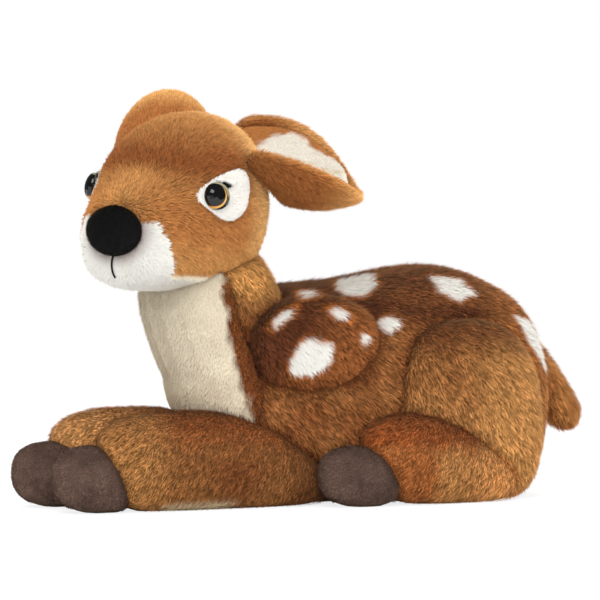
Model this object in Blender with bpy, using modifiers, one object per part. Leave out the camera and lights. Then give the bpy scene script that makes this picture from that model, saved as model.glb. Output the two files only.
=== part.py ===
"""A lying plush deer: sewn skins over fibre filling, with limbs, ears, tail, eyes and nose as pieces of their own.

The deer lies along X and looks towards -X, its left side is towards -Y, and it rests on the plane Z = 0.
The origin lies on the underside, below the middle of the chest and belly.
Each swelling form is a coarse cage of rings under Subdivision Surface. A ring is a row in a table of shares of
the form's own length, width and height. A smaller form is cut by the larger one that it is sewn to.
"""

import math

import bmesh
import bpy
from mathutils import Matrix, Vector

# Clearance between neighbours, and the small amount by which a resting form is cut flat
GAP = 0.0003
FLAT_DEPTH = 0.0005
# A sewn-on sheet keeps this from the faceted form below it
SHEET_GAP = 0.0006
OVERRUN = 0.03
MERGE = 0.00001

# Cloth
SKIN_THICKNESS = 0.0025
PANEL_THICKNESS = 0.0015
FELT_THICKNESS = 0.0012

# Torso
TORSO_LENGTH = 0.253
TORSO_WIDTH = 0.108
TORSO_HEIGHT = 0.139
CHEST_REACH = 0.079
NECK_HOLE_RADIUS = 0.020
BELLY_LENGTH = 0.130
BELLY_WIDTH = 0.040
BELLY_BACK = 0.100
BELLY_TOP = PANEL_THICKNESS + GAP

# Neck
NECK_LENGTH = 0.098
NECK_WIDTH = 0.082
NECK_DEPTH = 0.080
NECK_FOOT_X = -0.031
NECK_FOOT_Z = 0.060
NECK_LEAN = math.radians(25)

# Bib, the cream panel down the throat and the chest
BIB_TOP_Z = 0.150
BIB_BOTTOM_Z = 0.048
BIB_SPREAD = math.radians(78)
BIB_BLANK_RADIUS = 0.052
BIB_GAP = 0.0012

# Head
HEAD_LENGTH = 0.110
HEAD_WIDTH = 0.096
HEAD_HEIGHT = 0.102
HEAD_X = -0.078
HEAD_Y = -0.002
HEAD_Z = 0.185
HEAD_TURN = math.radians(29)
HEAD_ROLL = math.radians(5)
HEAD_FRONT = 0.064
HEAD_BELOW = 0.058
HEAD_HOLE_RADIUS = 0.018

# Muzzle panel: where its seam with the brown skin runs, from the middle of the head
MUZZLE_SEAM_FRONT = 0.058
MUZZLE_SEAM_TOP = -0.019
JAW_SEAM_FRONT = 0.045
JAW_SEAM_HIGH = -0.049
JAW_SEAM_BACK = 0.010
JAW_SEAM_LOW = -0.052

# Nose and mouth
NOSE_WIDTH = 0.036
NOSE_HEIGHT = 0.028
NOSE_DEPTH = 0.022
NOSE_OUT = 0.064
NOSE_DOWN = 0.026
MOUTH_TOP = 0.0400
MOUTH_BOTTOM = 0.0520
MOUTH_SWAY = 0.0012
THREAD_RADIUS = 0.0006

# Safety eyes, their patches and their lash pieces
EYE_DIAMETER = 0.016
EYE_DOME_HEIGHT = 0.0054
EYE_RIM_HEIGHT = 0.0010
EYE_FORWARD = 0.031
EYE_UP = -0.0025
EYE_SPLAY = math.radians(55)
# From the head's skin up to the eye's back, over the patch
EYE_LIFT = SHEET_GAP + FELT_THICKNESS + GAP
STEM_DIAMETER = 0.0045
STEM_LENGTH = 0.012
WASHER_DIAMETER = 0.0095
WASHER_THICKNESS = 0.0014
WASHER_GAP = 0.0014
PATCH_LENGTH = 0.037
PATCH_HEIGHT = 0.030
LASH_LENGTH = 0.0062
LASH_WIDTH = 0.0018
LASH_START = math.radians(82)
LASH_SWEEP = math.radians(52)

# Ears
EAR_LENGTH = 0.0735
EAR_WIDTH = 0.105
# How much wider the ear is above its fold than below
EAR_FULLNESS = 1.15
EAR_THICKNESS = 0.0045
EAR_FOLD_LEFT = 0.026
EAR_FOLD_RIGHT = 0.025
EAR_OPEN_LEFT = 0.0436
EAR_OPEN_RIGHT = 0.0255
EAR_BOW_LEFT = 0.015
EAR_BOW_RIGHT = 0.005
EAR_BACK = 0.0175
EAR_SIDE = 0.028
EAR_UP_LEFT = 0.0178
EAR_UP_RIGHT = 0.0295
EAR_SWEEP_LEFT = math.radians(44)
EAR_SWEEP_RIGHT = math.radians(31)
EAR_RISE_LEFT = math.radians(-8)
EAR_RISE_RIGHT = math.radians(20)
EAR_TWIST_LEFT = math.radians(74)
EAR_TWIST_RIGHT = math.radians(-92)
EAR_LINING_INSET = 0.0055
EAR_LINING_GAP = 0.0016
EAR_SWING = math.radians(15)

# Shoulder swells
SHOULDER_LENGTH = 0.090
SHOULDER_WIDTH = 0.034
SHOULDER_HEIGHT = 0.064
SHOULDER_BACK = 0.034
SHOULDER_LIFT = 0.060
SHOULDER_SIDE = 0.043

# Forelegs and fore hooves
FORELEG_LENGTH = 0.151
FORELEG_WIDTH = 0.047
FORELEG_HEIGHT = 0.056
FORELEG_BACK = 0.006
FORELEG_SIDE = 0.031
FORE_HOOF_LENGTH = 0.056
FORE_HOOF_WIDTH = 0.044
FORE_HOOF_HEIGHT = 0.041
FORE_HOOF_PROUD = 0.027
FORE_HOOF_SIDE = 0.027
# How far a hoof's form reaches below the plane that it is cut by
HOOF_SINK = 0.0018

# Haunches, hind legs and hind hooves
HAUNCH_LENGTH = 0.108
HAUNCH_WIDTH = 0.062
HAUNCH_HEIGHT = 0.113
HAUNCH_FRONT = 0.035
HAUNCH_SIDE = 0.042
HIND_LEG_LENGTH = 0.107
HIND_LEG_WIDTH = 0.043
HIND_LEG_HEIGHT = 0.057
HIND_LEG_FRONT = 0.011
HIND_LEG_SIDE = 0.061
HIND_HOOF_LENGTH = 0.054
HIND_HOOF_WIDTH = 0.042
HIND_HOOF_HEIGHT = 0.038
HIND_HOOF_PROUD = 0.029
HIND_HOOF_SIDE = 0.061

# Tail
TAIL_LENGTH = 0.073
TAIL_WIDTH = 0.027
TAIL_DEPTH = 0.025
TAIL_ROOT_INSET = 0.012
TAIL_ROOT_Z = 0.098
TAIL_SLOPE = math.radians(55)
TAIL_SWING = math.radians(15)

# Rings of each form: along its length, then its half width, underside and top side, as shares
TORSO_SHARES = (
    (0.000, 0.00, 0.56, 0.56),
    (0.020, 0.44, 0.40, 0.72),
    (0.070, 0.74, 0.28, 0.82),
    (0.150, 0.90, 0.10, 0.89),
    (0.280, 1.00, 0.00, 0.92),
    (0.430, 1.00, 0.00, 0.93),
    (0.580, 0.98, 0.00, 1.00),
    (0.720, 0.98, 0.00, 1.01),
    (0.840, 0.92, 0.00, 0.93),
    (0.940, 0.74, 0.05, 0.84),
    (1.000, 0.00, 0.46, 0.46),
)
NECK_SHARES = (
    (0.00, 0.00, 0.50, 0.50),
    (0.06, 0.80, 0.10, 0.90),
    (0.35, 1.00, 0.00, 1.00),
    (0.70, 0.97, 0.00, 0.97),
    (0.95, 0.86, 0.06, 0.92),
    (1.00, 0.00, 0.50, 0.50),
)
HEAD_SHARES = (
    (0.000, 0.00, 0.27, 0.27),
    (0.022, 0.44, 0.07, 0.48),
    (0.085, 0.61, 0.01, 0.55),
    (0.190, 0.69, 0.00, 0.61),
    (0.300, 0.85, 0.01, 0.81),
    (0.440, 0.98, 0.00, 0.95),
    (0.600, 1.00, 0.00, 1.00),
    (0.780, 0.97, 0.02, 1.01),
    (0.930, 0.76, 0.13, 0.90),
    (1.000, 0.00, 0.52, 0.52),
)
SHOULDER_SHARES = (
    (0.00, 0.00, 0.50, 0.50),
    (0.08, 0.56, 0.16, 0.80),
    (0.35, 1.00, 0.00, 1.00),
    (0.70, 0.94, 0.02, 0.97),
    (0.94, 0.50, 0.20, 0.80),
    (1.00, 0.00, 0.50, 0.50),
)
FORELEG_SHARES = (
    (0.00, 0.00, 0.44, 0.44),
    (0.04, 0.76, 0.03, 0.86),
    (0.20, 0.94, 0.00, 1.02),
    (0.48, 1.00, 0.00, 1.00),
    (0.78, 0.98, 0.00, 0.94),
    (0.95, 0.64, 0.05, 0.70),
    (1.00, 0.00, 0.40, 0.40),
)
HOOF_SHARES = (
    (0.00, 0.00, 0.58, 0.58),
    (0.08, 0.58, 0.20, 0.88),
    (0.40, 0.98, 0.00, 1.00),
    (0.90, 0.76, 0.06, 0.88),
    (1.00, 0.00, 0.50, 0.50),
)
HAUNCH_SHARES = (
    (0.00, 0.00, 0.52, 0.52),
    (0.06, 0.50, 0.20, 0.80),
    (0.25, 0.88, 0.01, 0.96),
    (0.58, 1.00, 0.00, 1.00),
    (0.86, 0.88, 0.02, 0.90),
    (0.96, 0.56, 0.10, 0.72),
    (1.00, 0.00, 0.40, 0.40),
)
HIND_LEG_SHARES = (
    (0.00, 0.00, 0.48, 0.48),
    (0.06, 0.72, 0.06, 0.82),
    (0.34, 1.00, 0.00, 1.00),
    (0.66, 0.95, 0.00, 0.86),
    (0.93, 0.60, 0.03, 0.54),
    (1.00, 0.00, 0.28, 0.28),
)
TAIL_SHARES = (
    (0.00, 0.00, 0.50, 0.50),
    (0.07, 0.60, 0.18, 0.82),
    (0.45, 0.80, 0.10, 0.90),
    (0.88, 0.92, 0.06, 0.94),
    (1.00, 0.00, 0.50, 0.50),
)
# Bib rows from the top down: height share, spread share
BIB_SHARES = (
    (1.00, 1.15),
    (0.75, 1.08),
    (0.50, 1.00),
    (0.25, 0.94),
    (0.00, 0.84),
)
# Eye patch outline seen from outside, round from its inner corner: shares of its length and height
PATCH_SHARES = (
    (-0.36, 0.00),
    (-0.08, 0.26),
    (0.24, 0.44),
    (0.66, 0.58),
    (0.70, 0.24),
    (0.64, -0.20),
    (0.30, -0.50),
    (0.04, -0.42),
    (-0.20, -0.18),
)
# Ear rows from the root to the tip: along, half width, opening from folded to open
EAR_SHARES = (
    (0.00, 0.58, 0.00),
    (0.18, 0.80, 0.25),
    (0.45, 1.00, 0.65),
    (0.75, 0.86, 0.95),
    (0.94, 0.45, 1.00),
    (1.00, 0.16, 1.00),
)

BODY_SIDES = 10
LIMB_SIDES = 8
EAR_COLUMNS = 8
BIB_COLUMNS = 8
BODY_ROUNDNESS = 2.1
SETTLED_ROUNDNESS = 3.0
PLAIN_ROUNDNESS = 2.7
SEGMENTS = 20
PATCH_RINGS = 2
MOUTH_STEPS = 6
LASH_STEPS = 6

BROWN = (0.400, 0.155, 0.048)
DARK_BROWN = (0.100, 0.036, 0.019)
RUST = (0.215, 0.055, 0.015)
CREAM = (0.700, 0.640, 0.500)
WHITE = (0.800, 0.780, 0.720)
HOOF_BROWN = (0.094, 0.057, 0.044)
BLACK = (0.013, 0.013, 0.014)
FILLING_WHITE = (0.850, 0.850, 0.830)
WASHER_WHITE = (0.700, 0.700, 0.680)


def clear_scene():
    for obj in list(bpy.data.objects):
        bpy.data.objects.remove(obj)


def new_collection(name):
    collection = bpy.data.collections.new(name)
    bpy.context.scene.collection.children.link(collection)
    return collection


def new_material(name, colour, roughness):
    material = bpy.data.materials.new(name)
    material.use_nodes = True
    shader = material.node_tree.nodes["Principled BSDF"]
    shader.inputs["Base Color"].default_value = (*colour, 1)
    shader.inputs["Roughness"].default_value = roughness
    shader.inputs["Metallic"].default_value = 0
    material.diffuse_color = (*colour, 1)
    return material


def placed(obj, where):
    """Gives the object its place from a matrix that only moves and turns."""
    obj.location = where.to_translation()
    obj.rotation_euler = where.to_euler()
    return obj


def new_object(name, mesh, material=None, where=None):
    """An object of the deer, or a hidden cutter or guide if it has no material."""
    obj = bpy.data.objects.new(name, mesh)
    if material is None:
        cutters.objects.link(obj)
        obj.hide_render = True
        obj.display_type = "WIRE"
    else:
        parts.objects.link(obj)
        if isinstance(mesh, bpy.types.Mesh):
            mesh.materials.append(material)
            mesh.shade_smooth()
    if where is not None:
        placed(obj, where)
    return obj


def mesh_from(name, build, facing=None):
    """A mesh from a function that fills a bmesh. An open sheet faces the given direction."""
    shape = bmesh.new()
    build(shape)
    if facing is None:
        bmesh.ops.recalc_face_normals(shape, faces=shape.faces)
    else:
        shape.normal_update()
        total = sum((face.normal * face.calc_area() for face in shape.faces), Vector())
        if total.dot(facing) < 0:
            bmesh.ops.reverse_faces(shape, faces=shape.faces)
    mesh = bpy.data.meshes.new(name)
    shape.to_mesh(mesh)
    shape.free()
    return mesh


def rounded(value, roundness):
    return math.copysign(abs(value) ** (2 / roundness), value)


def form_mesh(name, length, width, height, shares, sides, below=BODY_ROUNDNESS, lean=0, middle=0):
    """A cage of rings along +X. below is the roundness of the underside: higher is flatter.

    lean slides each ring's top forward by that length, and middle is the share of the height at local Z = 0.
    """
    # A ring's smooth surface lies inside its cage by this much
    shrink = (2 + math.cos(math.tau / sides)) / 3

    def build(shape):
        rings = []
        for along, wide, low, high in shares[1:-1]:
            centre = (low + high) / 2 - middle
            half = (high - low) / 2 / shrink
            ring = []
            for step in range(sides):
                angle = math.tau * (step + 0.5) / sides
                roundness = BODY_ROUNDNESS if math.sin(angle) > 0 else below
                across = rounded(math.cos(angle), roundness) * wide / 2 / shrink
                up = rounded(math.sin(angle), roundness)
                point = (
                    along * length - lean * up,
                    across * width,
                    (centre + half * up) * height,
                )
                ring.append(shape.verts.new(point))
            rings.append(ring)
        for ring, following in zip(rings, rings[1:]):
            for step in range(sides):
                after = (step + 1) % sides
                shape.faces.new((ring[step], ring[after], following[after], following[step]))
        for (along, _, low, _), ring in ((shares[0], rings[0]), (shares[-1], rings[-1])):
            pole = shape.verts.new((along * length, 0, (low - middle) * height))
            for step in range(sides):
                shape.faces.new((ring[step], ring[(step + 1) % sides], pole))

    return mesh_from(name, build)


def smoothed(obj):
    modifier = obj.modifiers.new("smooth", "SUBSURF")
    modifier.levels = 1
    modifier.render_levels = 1
    modifier = obj.modifiers.new("triangles", "TRIANGULATE")
    modifier.quad_method = "FIXED"
    return obj


def moved_out(obj, distance):
    modifier = obj.modifiers.new("offset", "DISPLACE")
    modifier.strength = distance
    modifier.mid_level = 0
    return obj


def thickened(obj, thickness, outwards):
    modifier = obj.modifiers.new("thickness", "SOLIDIFY")
    modifier.thickness = thickness
    modifier.offset = 1 if outwards else -1
    return obj


def combined(obj, other, operation="DIFFERENCE"):
    modifier = obj.modifiers.new(operation.lower() + " " + other.name, "BOOLEAN")
    modifier.operation = operation
    modifier.object = other
    return obj


def grown(obj, distance, name):
    """A hidden copy of a form, larger all round by a clearance, that cuts the pieces sewn against it."""
    return moved_out(smoothed(new_object(name, obj.data, where=obj.matrix_basis)), distance)


def form(name, mesh, material, where):
    """A stuffed form, and the cutter that keeps smaller pieces clear of it."""
    obj = smoothed(new_object(name, mesh, material, where))
    return obj, grown(obj, GAP, name + "_clearance")


def box_mesh(name, low, high):
    def build(shape):
        bmesh.ops.create_cube(shape, size=1)
        size = Vector(high) - Vector(low)
        middle = (Vector(high) + Vector(low)) / 2
        bmesh.ops.transform(
            shape, matrix=Matrix.Translation(middle) @ Matrix.Diagonal((*size, 1)), verts=shape.verts
        )

    return mesh_from(name, build)


def rod_mesh(name, radius, low, high):
    """A cylinder along Z from low to high."""

    def build(shape):
        bmesh.ops.create_cone(
            shape,
            cap_ends=True,
            segments=SEGMENTS,
            radius1=radius,
            radius2=radius,
            depth=high - low,
            matrix=Matrix.Translation((0, 0, (low + high) / 2)),
        )

    return mesh_from(name, build)


def line_mesh(name, profile):
    mesh = bpy.data.meshes.new(name)
    points = [(radius, 0, height) for radius, height in profile]
    mesh.from_pydata(points, [(i, i + 1) for i in range(len(points) - 1)], [])
    return mesh


def turned(obj):
    modifier = obj.modifiers.new("turn", "SCREW")
    modifier.steps = SEGMENTS
    modifier.render_steps = SEGMENTS
    modifier.use_merge_vertices = True
    modifier.merge_threshold = MERGE
    modifier.use_smooth_shade = True
    return obj


def grid_mesh(name, rows, facing):
    """An open sheet from rows of points, each row as long as the next."""

    def build(shape):
        lines = [[shape.verts.new(point) for point in row] for row in rows]
        for line, following in zip(lines, lines[1:]):
            for step in range(len(line) - 1):
                shape.faces.new((line[step], line[step + 1], following[step + 1], following[step]))

    return mesh_from(name, build, facing)


def disc_mesh(name, outline, rings, facing):
    """An open sheet of rings that fill a closed outline in the local XY plane."""

    def build(shape):
        middle = shape.verts.new((0, 0, 0))
        inner = None
        for ring in range(1, rings + 1):
            line = [shape.verts.new((x * ring / rings, y * ring / rings, 0)) for x, y in outline]
            for step in range(len(line)):
                after = (step + 1) % len(line)
                if inner is None:
                    shape.faces.new((middle, line[step], line[after]))
                else:
                    shape.faces.new((inner[step], line[step], line[after], inner[after]))
            inner = line

    return mesh_from(name, build, facing)


def laid_along_z(obj, target, distance):
    """Drops an open sheet along its own -Z onto a form, and keeps a distance from it."""
    modifier = obj.modifiers.new("lie", "SHRINKWRAP")
    modifier.target = target
    modifier.offset = distance
    modifier.wrap_method = "PROJECT"
    modifier.wrap_mode = "ABOVE_SURFACE"
    modifier.use_project_z = True
    modifier.use_negative_direction = True
    modifier.use_positive_direction = False
    return obj


def laid_nearest(obj, target, distance):
    """Draws an open sheet in to the nearest places of a form, and keeps a distance from it."""
    modifier = obj.modifiers.new("lie", "SHRINKWRAP")
    modifier.target = target
    modifier.offset = distance
    modifier.wrap_method = "NEAREST_SURFACEPOINT"
    modifier.wrap_mode = "OUTSIDE_SURFACE"
    return obj


def surface_point(target, start, direction):
    """Where a line from outside first meets the target: the point and the outward normal."""
    bpy.context.view_layer.update()
    graph = bpy.context.evaluated_depsgraph_get()
    evaluated = target.evaluated_get(graph)
    inverse = evaluated.matrix_world.inverted()
    turn = inverse.to_3x3()
    found, point, normal, _ = evaluated.ray_cast(inverse @ start, turn @ direction)
    if not found:
        raise ValueError("nothing of " + target.name + " lies on that line")
    return evaluated.matrix_world @ point, (evaluated.matrix_world.to_3x3() @ normal).normalized()


def joint_empty(name, place, turn=None, parent=None):
    """An empty on a joint's axis, that carries the pieces which move together."""
    obj = bpy.data.objects.new(name, None)
    parts.objects.link(obj)
    obj.empty_display_size = EYE_DIAMETER
    where = Matrix.Translation(place) @ (turn or Matrix.Identity(4))
    if parent is not None:
        obj.parent = parent
        where = parent.matrix_world.inverted() @ where
    placed(obj, where)
    bpy.context.view_layer.update()
    return obj


def carried(obj, carrier):
    """Parents a piece and keeps its place."""
    obj.parent = carrier
    obj.matrix_parent_inverse = carrier.matrix_world.inverted()
    return obj


def mirrored(x, y, z, side):
    return Matrix.Translation((x, side * y, z))


def swung(where, pivot, axis, angle):
    """The place that an object takes when it turns by an angle about an axis through the pivot."""
    turn = Matrix.Rotation(angle, 4, axis)
    return Matrix.Translation(pivot) @ turn @ Matrix.Translation(-pivot) @ where


def cut_clear(pieces, larger, pivot, axis, swing):
    """Cuts pieces that swing about a pivot so that they stay clear of a larger form up to both ends of the swing."""
    copies = []
    for angle in (0, -swing, swing):
        where = swung(larger.matrix_basis, pivot, axis, angle)
        turned_form = smoothed(new_object(larger.name + "_swung", larger.data, where=where))
        copies.append(moved_out(turned_form, GAP))
    swept = copies[0]
    for copy in copies[1:]:
        combined(swept, copy, "UNION")
    for piece in pieces:
        combined(piece, swept)


def add_filling(name, mesh, where):
    """The fibre inside a skin: the same form, drawn in by the skin's thickness."""
    mesh = mesh.copy()
    mesh.materials.clear()
    filling = smoothed(new_object(name, mesh, fibre_filling, where))
    return moved_out(filling, -SKIN_THICKNESS - SHEET_GAP)


def add_torso():
    mesh = form_mesh(
        "torso", TORSO_LENGTH, TORSO_WIDTH, TORSO_HEIGHT, TORSO_SHARES, BODY_SIDES, below=SETTLED_ROUNDNESS
    )
    where = Matrix.Translation((-CHEST_REACH, 0, BELLY_TOP - FLAT_DEPTH))
    torso, clearance = form("torso_skin", mesh, brown_plush, where)
    add_filling("torso_filling", mesh, where)
    thickened(torso, SKIN_THICKNESS, outwards=False)
    hole = new_object(
        "neck_hole",
        rod_mesh("neck_hole", NECK_HOLE_RADIUS, 0, NECK_LENGTH),
        where=Matrix.Translation(neck_foot) @ Matrix.Rotation(-NECK_LEAN, 4, "Y"),
    )
    combined(torso, hole)
    combined(torso, belly_room)
    return mesh, where, clearance


def belly_outline():
    """The belly panel's outline: a stadium."""
    half = BELLY_WIDTH / 2
    run = BELLY_LENGTH / 2 - half
    points = []
    for end, start in ((1, -math.pi / 2), (-1, math.pi / 2)):
        for step in range(SEGMENTS // 2 + 1):
            angle = start + math.pi * step / (SEGMENTS // 2)
            points.append((end * run + half * math.cos(angle), half * math.sin(angle)))
    return points


def add_belly_panel():
    curve = bpy.data.curves.new("belly_panel", "CURVE")
    curve.dimensions = "2D"
    curve.fill_mode = "BOTH"
    curve.extrude = PANEL_THICKNESS / 2
    curve.materials.append(cream_plush)
    outline = belly_outline()
    spline = curve.splines.new("POLY")
    spline.points.add(len(outline) - 1)
    for point, (x, y) in zip(spline.points, outline):
        point.co = (x, y, 0, 1)
    spline.use_cyclic_u = True
    where = Matrix.Translation((BELLY_BACK - BELLY_LENGTH / 2, 0, PANEL_THICKNESS / 2))
    return new_object("belly_panel", curve, cream_plush, where)


def add_head():
    """Head skin with the room for the muzzle panel left open, and the filling."""
    mesh = form_mesh(
        "head", HEAD_LENGTH, HEAD_WIDTH, HEAD_HEIGHT, HEAD_SHARES, BODY_SIDES, below=PLAIN_ROUNDNESS
    )
    where = head_place @ Matrix.Translation((-HEAD_FRONT, 0, -HEAD_BELOW))
    head, clearance = form("head_skin", mesh, brown_plush, where)
    guide = smoothed(new_object("head_guide", mesh, where=where))
    filling = add_filling("head_filling", mesh, where)
    thickened(head, SKIN_THICKNESS, outwards=False)
    combined(head, head_hole)
    combined(head, jaw_cutter("jaw_outside", GAP))
    return head, filling, clearance, guide


def jaw_cutter(name, spread):
    """A slab across the head whose front and upper edges are the muzzle panel's seam, moved out by spread."""
    outline = [
        (-HEAD_LENGTH, MUZZLE_SEAM_TOP + spread),
        (-MUZZLE_SEAM_FRONT + spread, MUZZLE_SEAM_TOP + spread),
        (-JAW_SEAM_FRONT + spread, JAW_SEAM_HIGH + spread),
        (JAW_SEAM_BACK + spread, JAW_SEAM_LOW + spread),
        (JAW_SEAM_BACK + spread, -HEAD_HEIGHT),
        (-HEAD_LENGTH, -HEAD_HEIGHT),
    ]

    def build(shape):
        near = [shape.verts.new((x, -HEAD_WIDTH, z)) for x, z in outline]
        far = [shape.verts.new((x, HEAD_WIDTH, z)) for x, z in outline]
        shape.faces.new(near)
        shape.faces.new(far)
        for step in range(len(outline)):
            after = (step + 1) % len(outline)
            shape.faces.new((near[step], near[after], far[after], far[step]))

    return new_object(name, mesh_from(name, build), where=head_place)


def add_muzzle_panel():
    """The pale part of the head's skin, round the mouth and under the jaw."""
    mesh = head_guide.data.copy()
    mesh.materials.clear()
    muzzle = smoothed(new_object("muzzle_panel", mesh, white_plush, head_guide.matrix_basis))
    thickened(muzzle, SKIN_THICKNESS, outwards=False)
    combined(muzzle, jaw_cutter("jaw_inside", 0), "INTERSECT")
    combined(muzzle, head_hole)
    return muzzle


def add_nose_pad():
    size = Matrix.Diagonal((NOSE_DEPTH / 2, NOSE_WIDTH / 2, NOSE_HEIGHT / 2, 1))
    mesh = mesh_from(
        "nose_pad",
        lambda shape: bmesh.ops.create_uvsphere(
            shape, u_segments=SEGMENTS, v_segments=SEGMENTS // 2, radius=1, matrix=size
        ),
    )
    where = head_place @ Matrix.Translation((-NOSE_OUT, 0, -NOSE_DOWN))
    nose = new_object("nose_pad", mesh, nose_felt, where)
    combined(nose, head_clearance)
    return nose


def mouth_points():
    """The mouth's thread runs down the middle of the muzzle with a slight sway."""
    backwards = head_place.to_3x3() @ Vector((1, 0, 0))
    points = []
    for step in range(MOUTH_STEPS + 1):
        share = step / MOUTH_STEPS
        down = MOUTH_TOP + (MOUTH_BOTTOM - MOUTH_TOP) * share
        across = MOUTH_SWAY * math.sin(math.pi * share)
        start = head_place @ Vector((-HEAD_LENGTH, across, -down))
        point, normal = surface_point(head_guide, start, backwards)
        points.append(point + normal * (THREAD_RADIUS + SHEET_GAP))
    return points


def add_mouth_stitch():
    curve = bpy.data.curves.new("mouth_stitch", "CURVE")
    curve.dimensions = "3D"
    curve.bevel_depth = THREAD_RADIUS
    curve.bevel_resolution = 1
    curve.use_fill_caps = True
    curve.materials.append(black_thread)
    points = mouth_points()
    spline = curve.splines.new("POLY")
    spline.points.add(len(points) - 1)
    for node, point in zip(spline.points, points):
        node.co = (*point, 1)
    return new_object("mouth_stitch", curve, black_thread)


def eye_frame(side):
    """The place of an eye's back: Z points out of the head, X towards its rear, and Y up or down."""
    look = Vector((-math.cos(EYE_SPLAY), side * math.sin(EYE_SPLAY), 0))
    outside = Vector((-EYE_FORWARD, side * HEAD_WIDTH / 2, EYE_UP)) + look * HEAD_WIDTH
    point, normal = surface_point(head_guide, head_place @ outside, head_place.to_3x3() @ -look)
    backwards = head_place.to_3x3() @ Vector((1, 0, 0))
    upright = normal.cross(backwards).normalized()
    turn = Matrix((upright.cross(normal), upright, normal)).transposed().to_4x4()
    return Matrix.Translation(point + normal * EYE_LIFT) @ turn


def eye_profile():
    """Dome, rim and stem of a safety eye, from the top of the dome down. Its back lies at Z = 0."""
    radius = EYE_DIAMETER / 2
    stem = STEM_DIAMETER / 2
    steps = SEGMENTS // 4
    crown = EYE_DOME_HEIGHT - EYE_RIM_HEIGHT
    dome = [
        (
            radius * math.sin(math.pi / 2 * step / steps),
            EYE_RIM_HEIGHT + crown * math.cos(math.pi / 2 * step / steps),
        )
        for step in range(steps + 1)
    ]
    return dome + [(radius, 0), (stem, 0), (stem, -STEM_LENGTH), (0, -STEM_LENGTH)]


def washer_profile():
    """The section of a lock washer round the stem, inside the skin."""
    outer = WASHER_DIAMETER / 2
    inner = STEM_DIAMETER / 2 + GAP
    top = -EYE_LIFT - SKIN_THICKNESS - WASHER_GAP
    bottom = top - WASHER_THICKNESS
    return [(inner, top), (outer, top), (outer, bottom), (inner, bottom), (inner, top)]


def add_eye(side, word):
    """A safety eye with its washer, the hole through the skin and the pocket in the filling."""
    where = eye_frame(side)
    eye = turned(new_object("eye_" + word, line_mesh("eye_" + word, eye_profile()), eye_plastic, where))
    ring = line_mesh("eye_washer_" + word, washer_profile())
    washer = turned(new_object("eye_washer_" + word, ring, washer_plastic, where))
    hole = new_object(
        "stem_hole_" + word,
        rod_mesh("stem_hole_" + word, STEM_DIAMETER / 2 + GAP, -STEM_LENGTH, EYE_DOME_HEIGHT),
        where=where,
    )
    pocket = new_object(
        "washer_pocket_" + word,
        rod_mesh("washer_pocket_" + word, WASHER_DIAMETER / 2 + GAP, -STEM_LENGTH - GAP, EYE_DOME_HEIGHT),
        where=where,
    )
    combined(head, hole)
    combined(head_filling, pocket)
    patch_place = where @ Matrix.Translation((0, 0, EYE_DIAMETER))
    upright = 1 if side < 0 else -1
    return eye, washer, hole, patch_place, upright


def add_eye_patch(word, hole, where, upright):
    """The pale felt round the eye, laid on the head. The eye's stem goes through it."""
    outline = [(x * PATCH_LENGTH, upright * y * PATCH_HEIGHT) for x, y in PATCH_SHARES]
    mesh = disc_mesh("eye_patch_" + word, outline, PATCH_RINGS, Vector((0, 0, 1)))
    patch = smoothed(new_object("eye_patch_" + word, mesh, white_plush, where))
    laid_along_z(patch, head_guide, SHEET_GAP)
    thickened(patch, FELT_THICKNESS, outwards=True)
    combined(patch, hole)
    return patch


def add_lash(word, where, upright):
    """A wedge of black felt over the top of the eye, that widens towards the ear."""
    inner = EYE_DIAMETER / 2 + GAP * 2
    rows = ([], [])
    for step in range(LASH_STEPS + 1):
        share = step / LASH_STEPS
        angle = LASH_START - LASH_SWEEP * share
        width = THREAD_RADIUS + LASH_WIDTH * share + (LASH_LENGTH - LASH_WIDTH) * share**4
        for row, reach in zip(rows, (inner, inner + width)):
            row.append((reach * math.cos(angle), upright * reach * math.sin(angle), 0))
    mesh = grid_mesh("lash_" + word, rows, Vector((0, 0, 1)))
    lash = new_object("lash_" + word, mesh, black_felt, where)
    laid_along_z(lash, head_guide, SHEET_GAP * 2 + FELT_THICKNESS)
    return thickened(lash, FELT_THICKNESS, outwards=True)


def ear_rows(shape, shares, inset, depth):
    """Rows across a leaf along +X, folded to a trough that opens towards -Y and bowed towards +Y.

    inset draws the leaf's edge in, and depth moves it into the trough.
    """
    fold_radius, open_radius, bow = shape
    rows = []
    for along, wide, opening in shares:
        halves = [max(EAR_WIDTH / 2 * wide * share - inset, THREAD_RADIUS) for share in (1, EAR_FULLNESS)]
        radius = fold_radius + (open_radius - fold_radius) * opening
        lift = bow * math.sin(math.pi * along) - depth
        row = []
        for column in range(EAR_COLUMNS + 1):
            across = column / EAR_COLUMNS * 2 - 1
            bend = across * halves[across > 0] / radius
            hollow = (radius - depth) * (1 - math.cos(bend))
            row.append((along * EAR_LENGTH, lift - hollow, (radius - depth) * math.sin(bend)))
        rows.append(row)
    return rows


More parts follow.
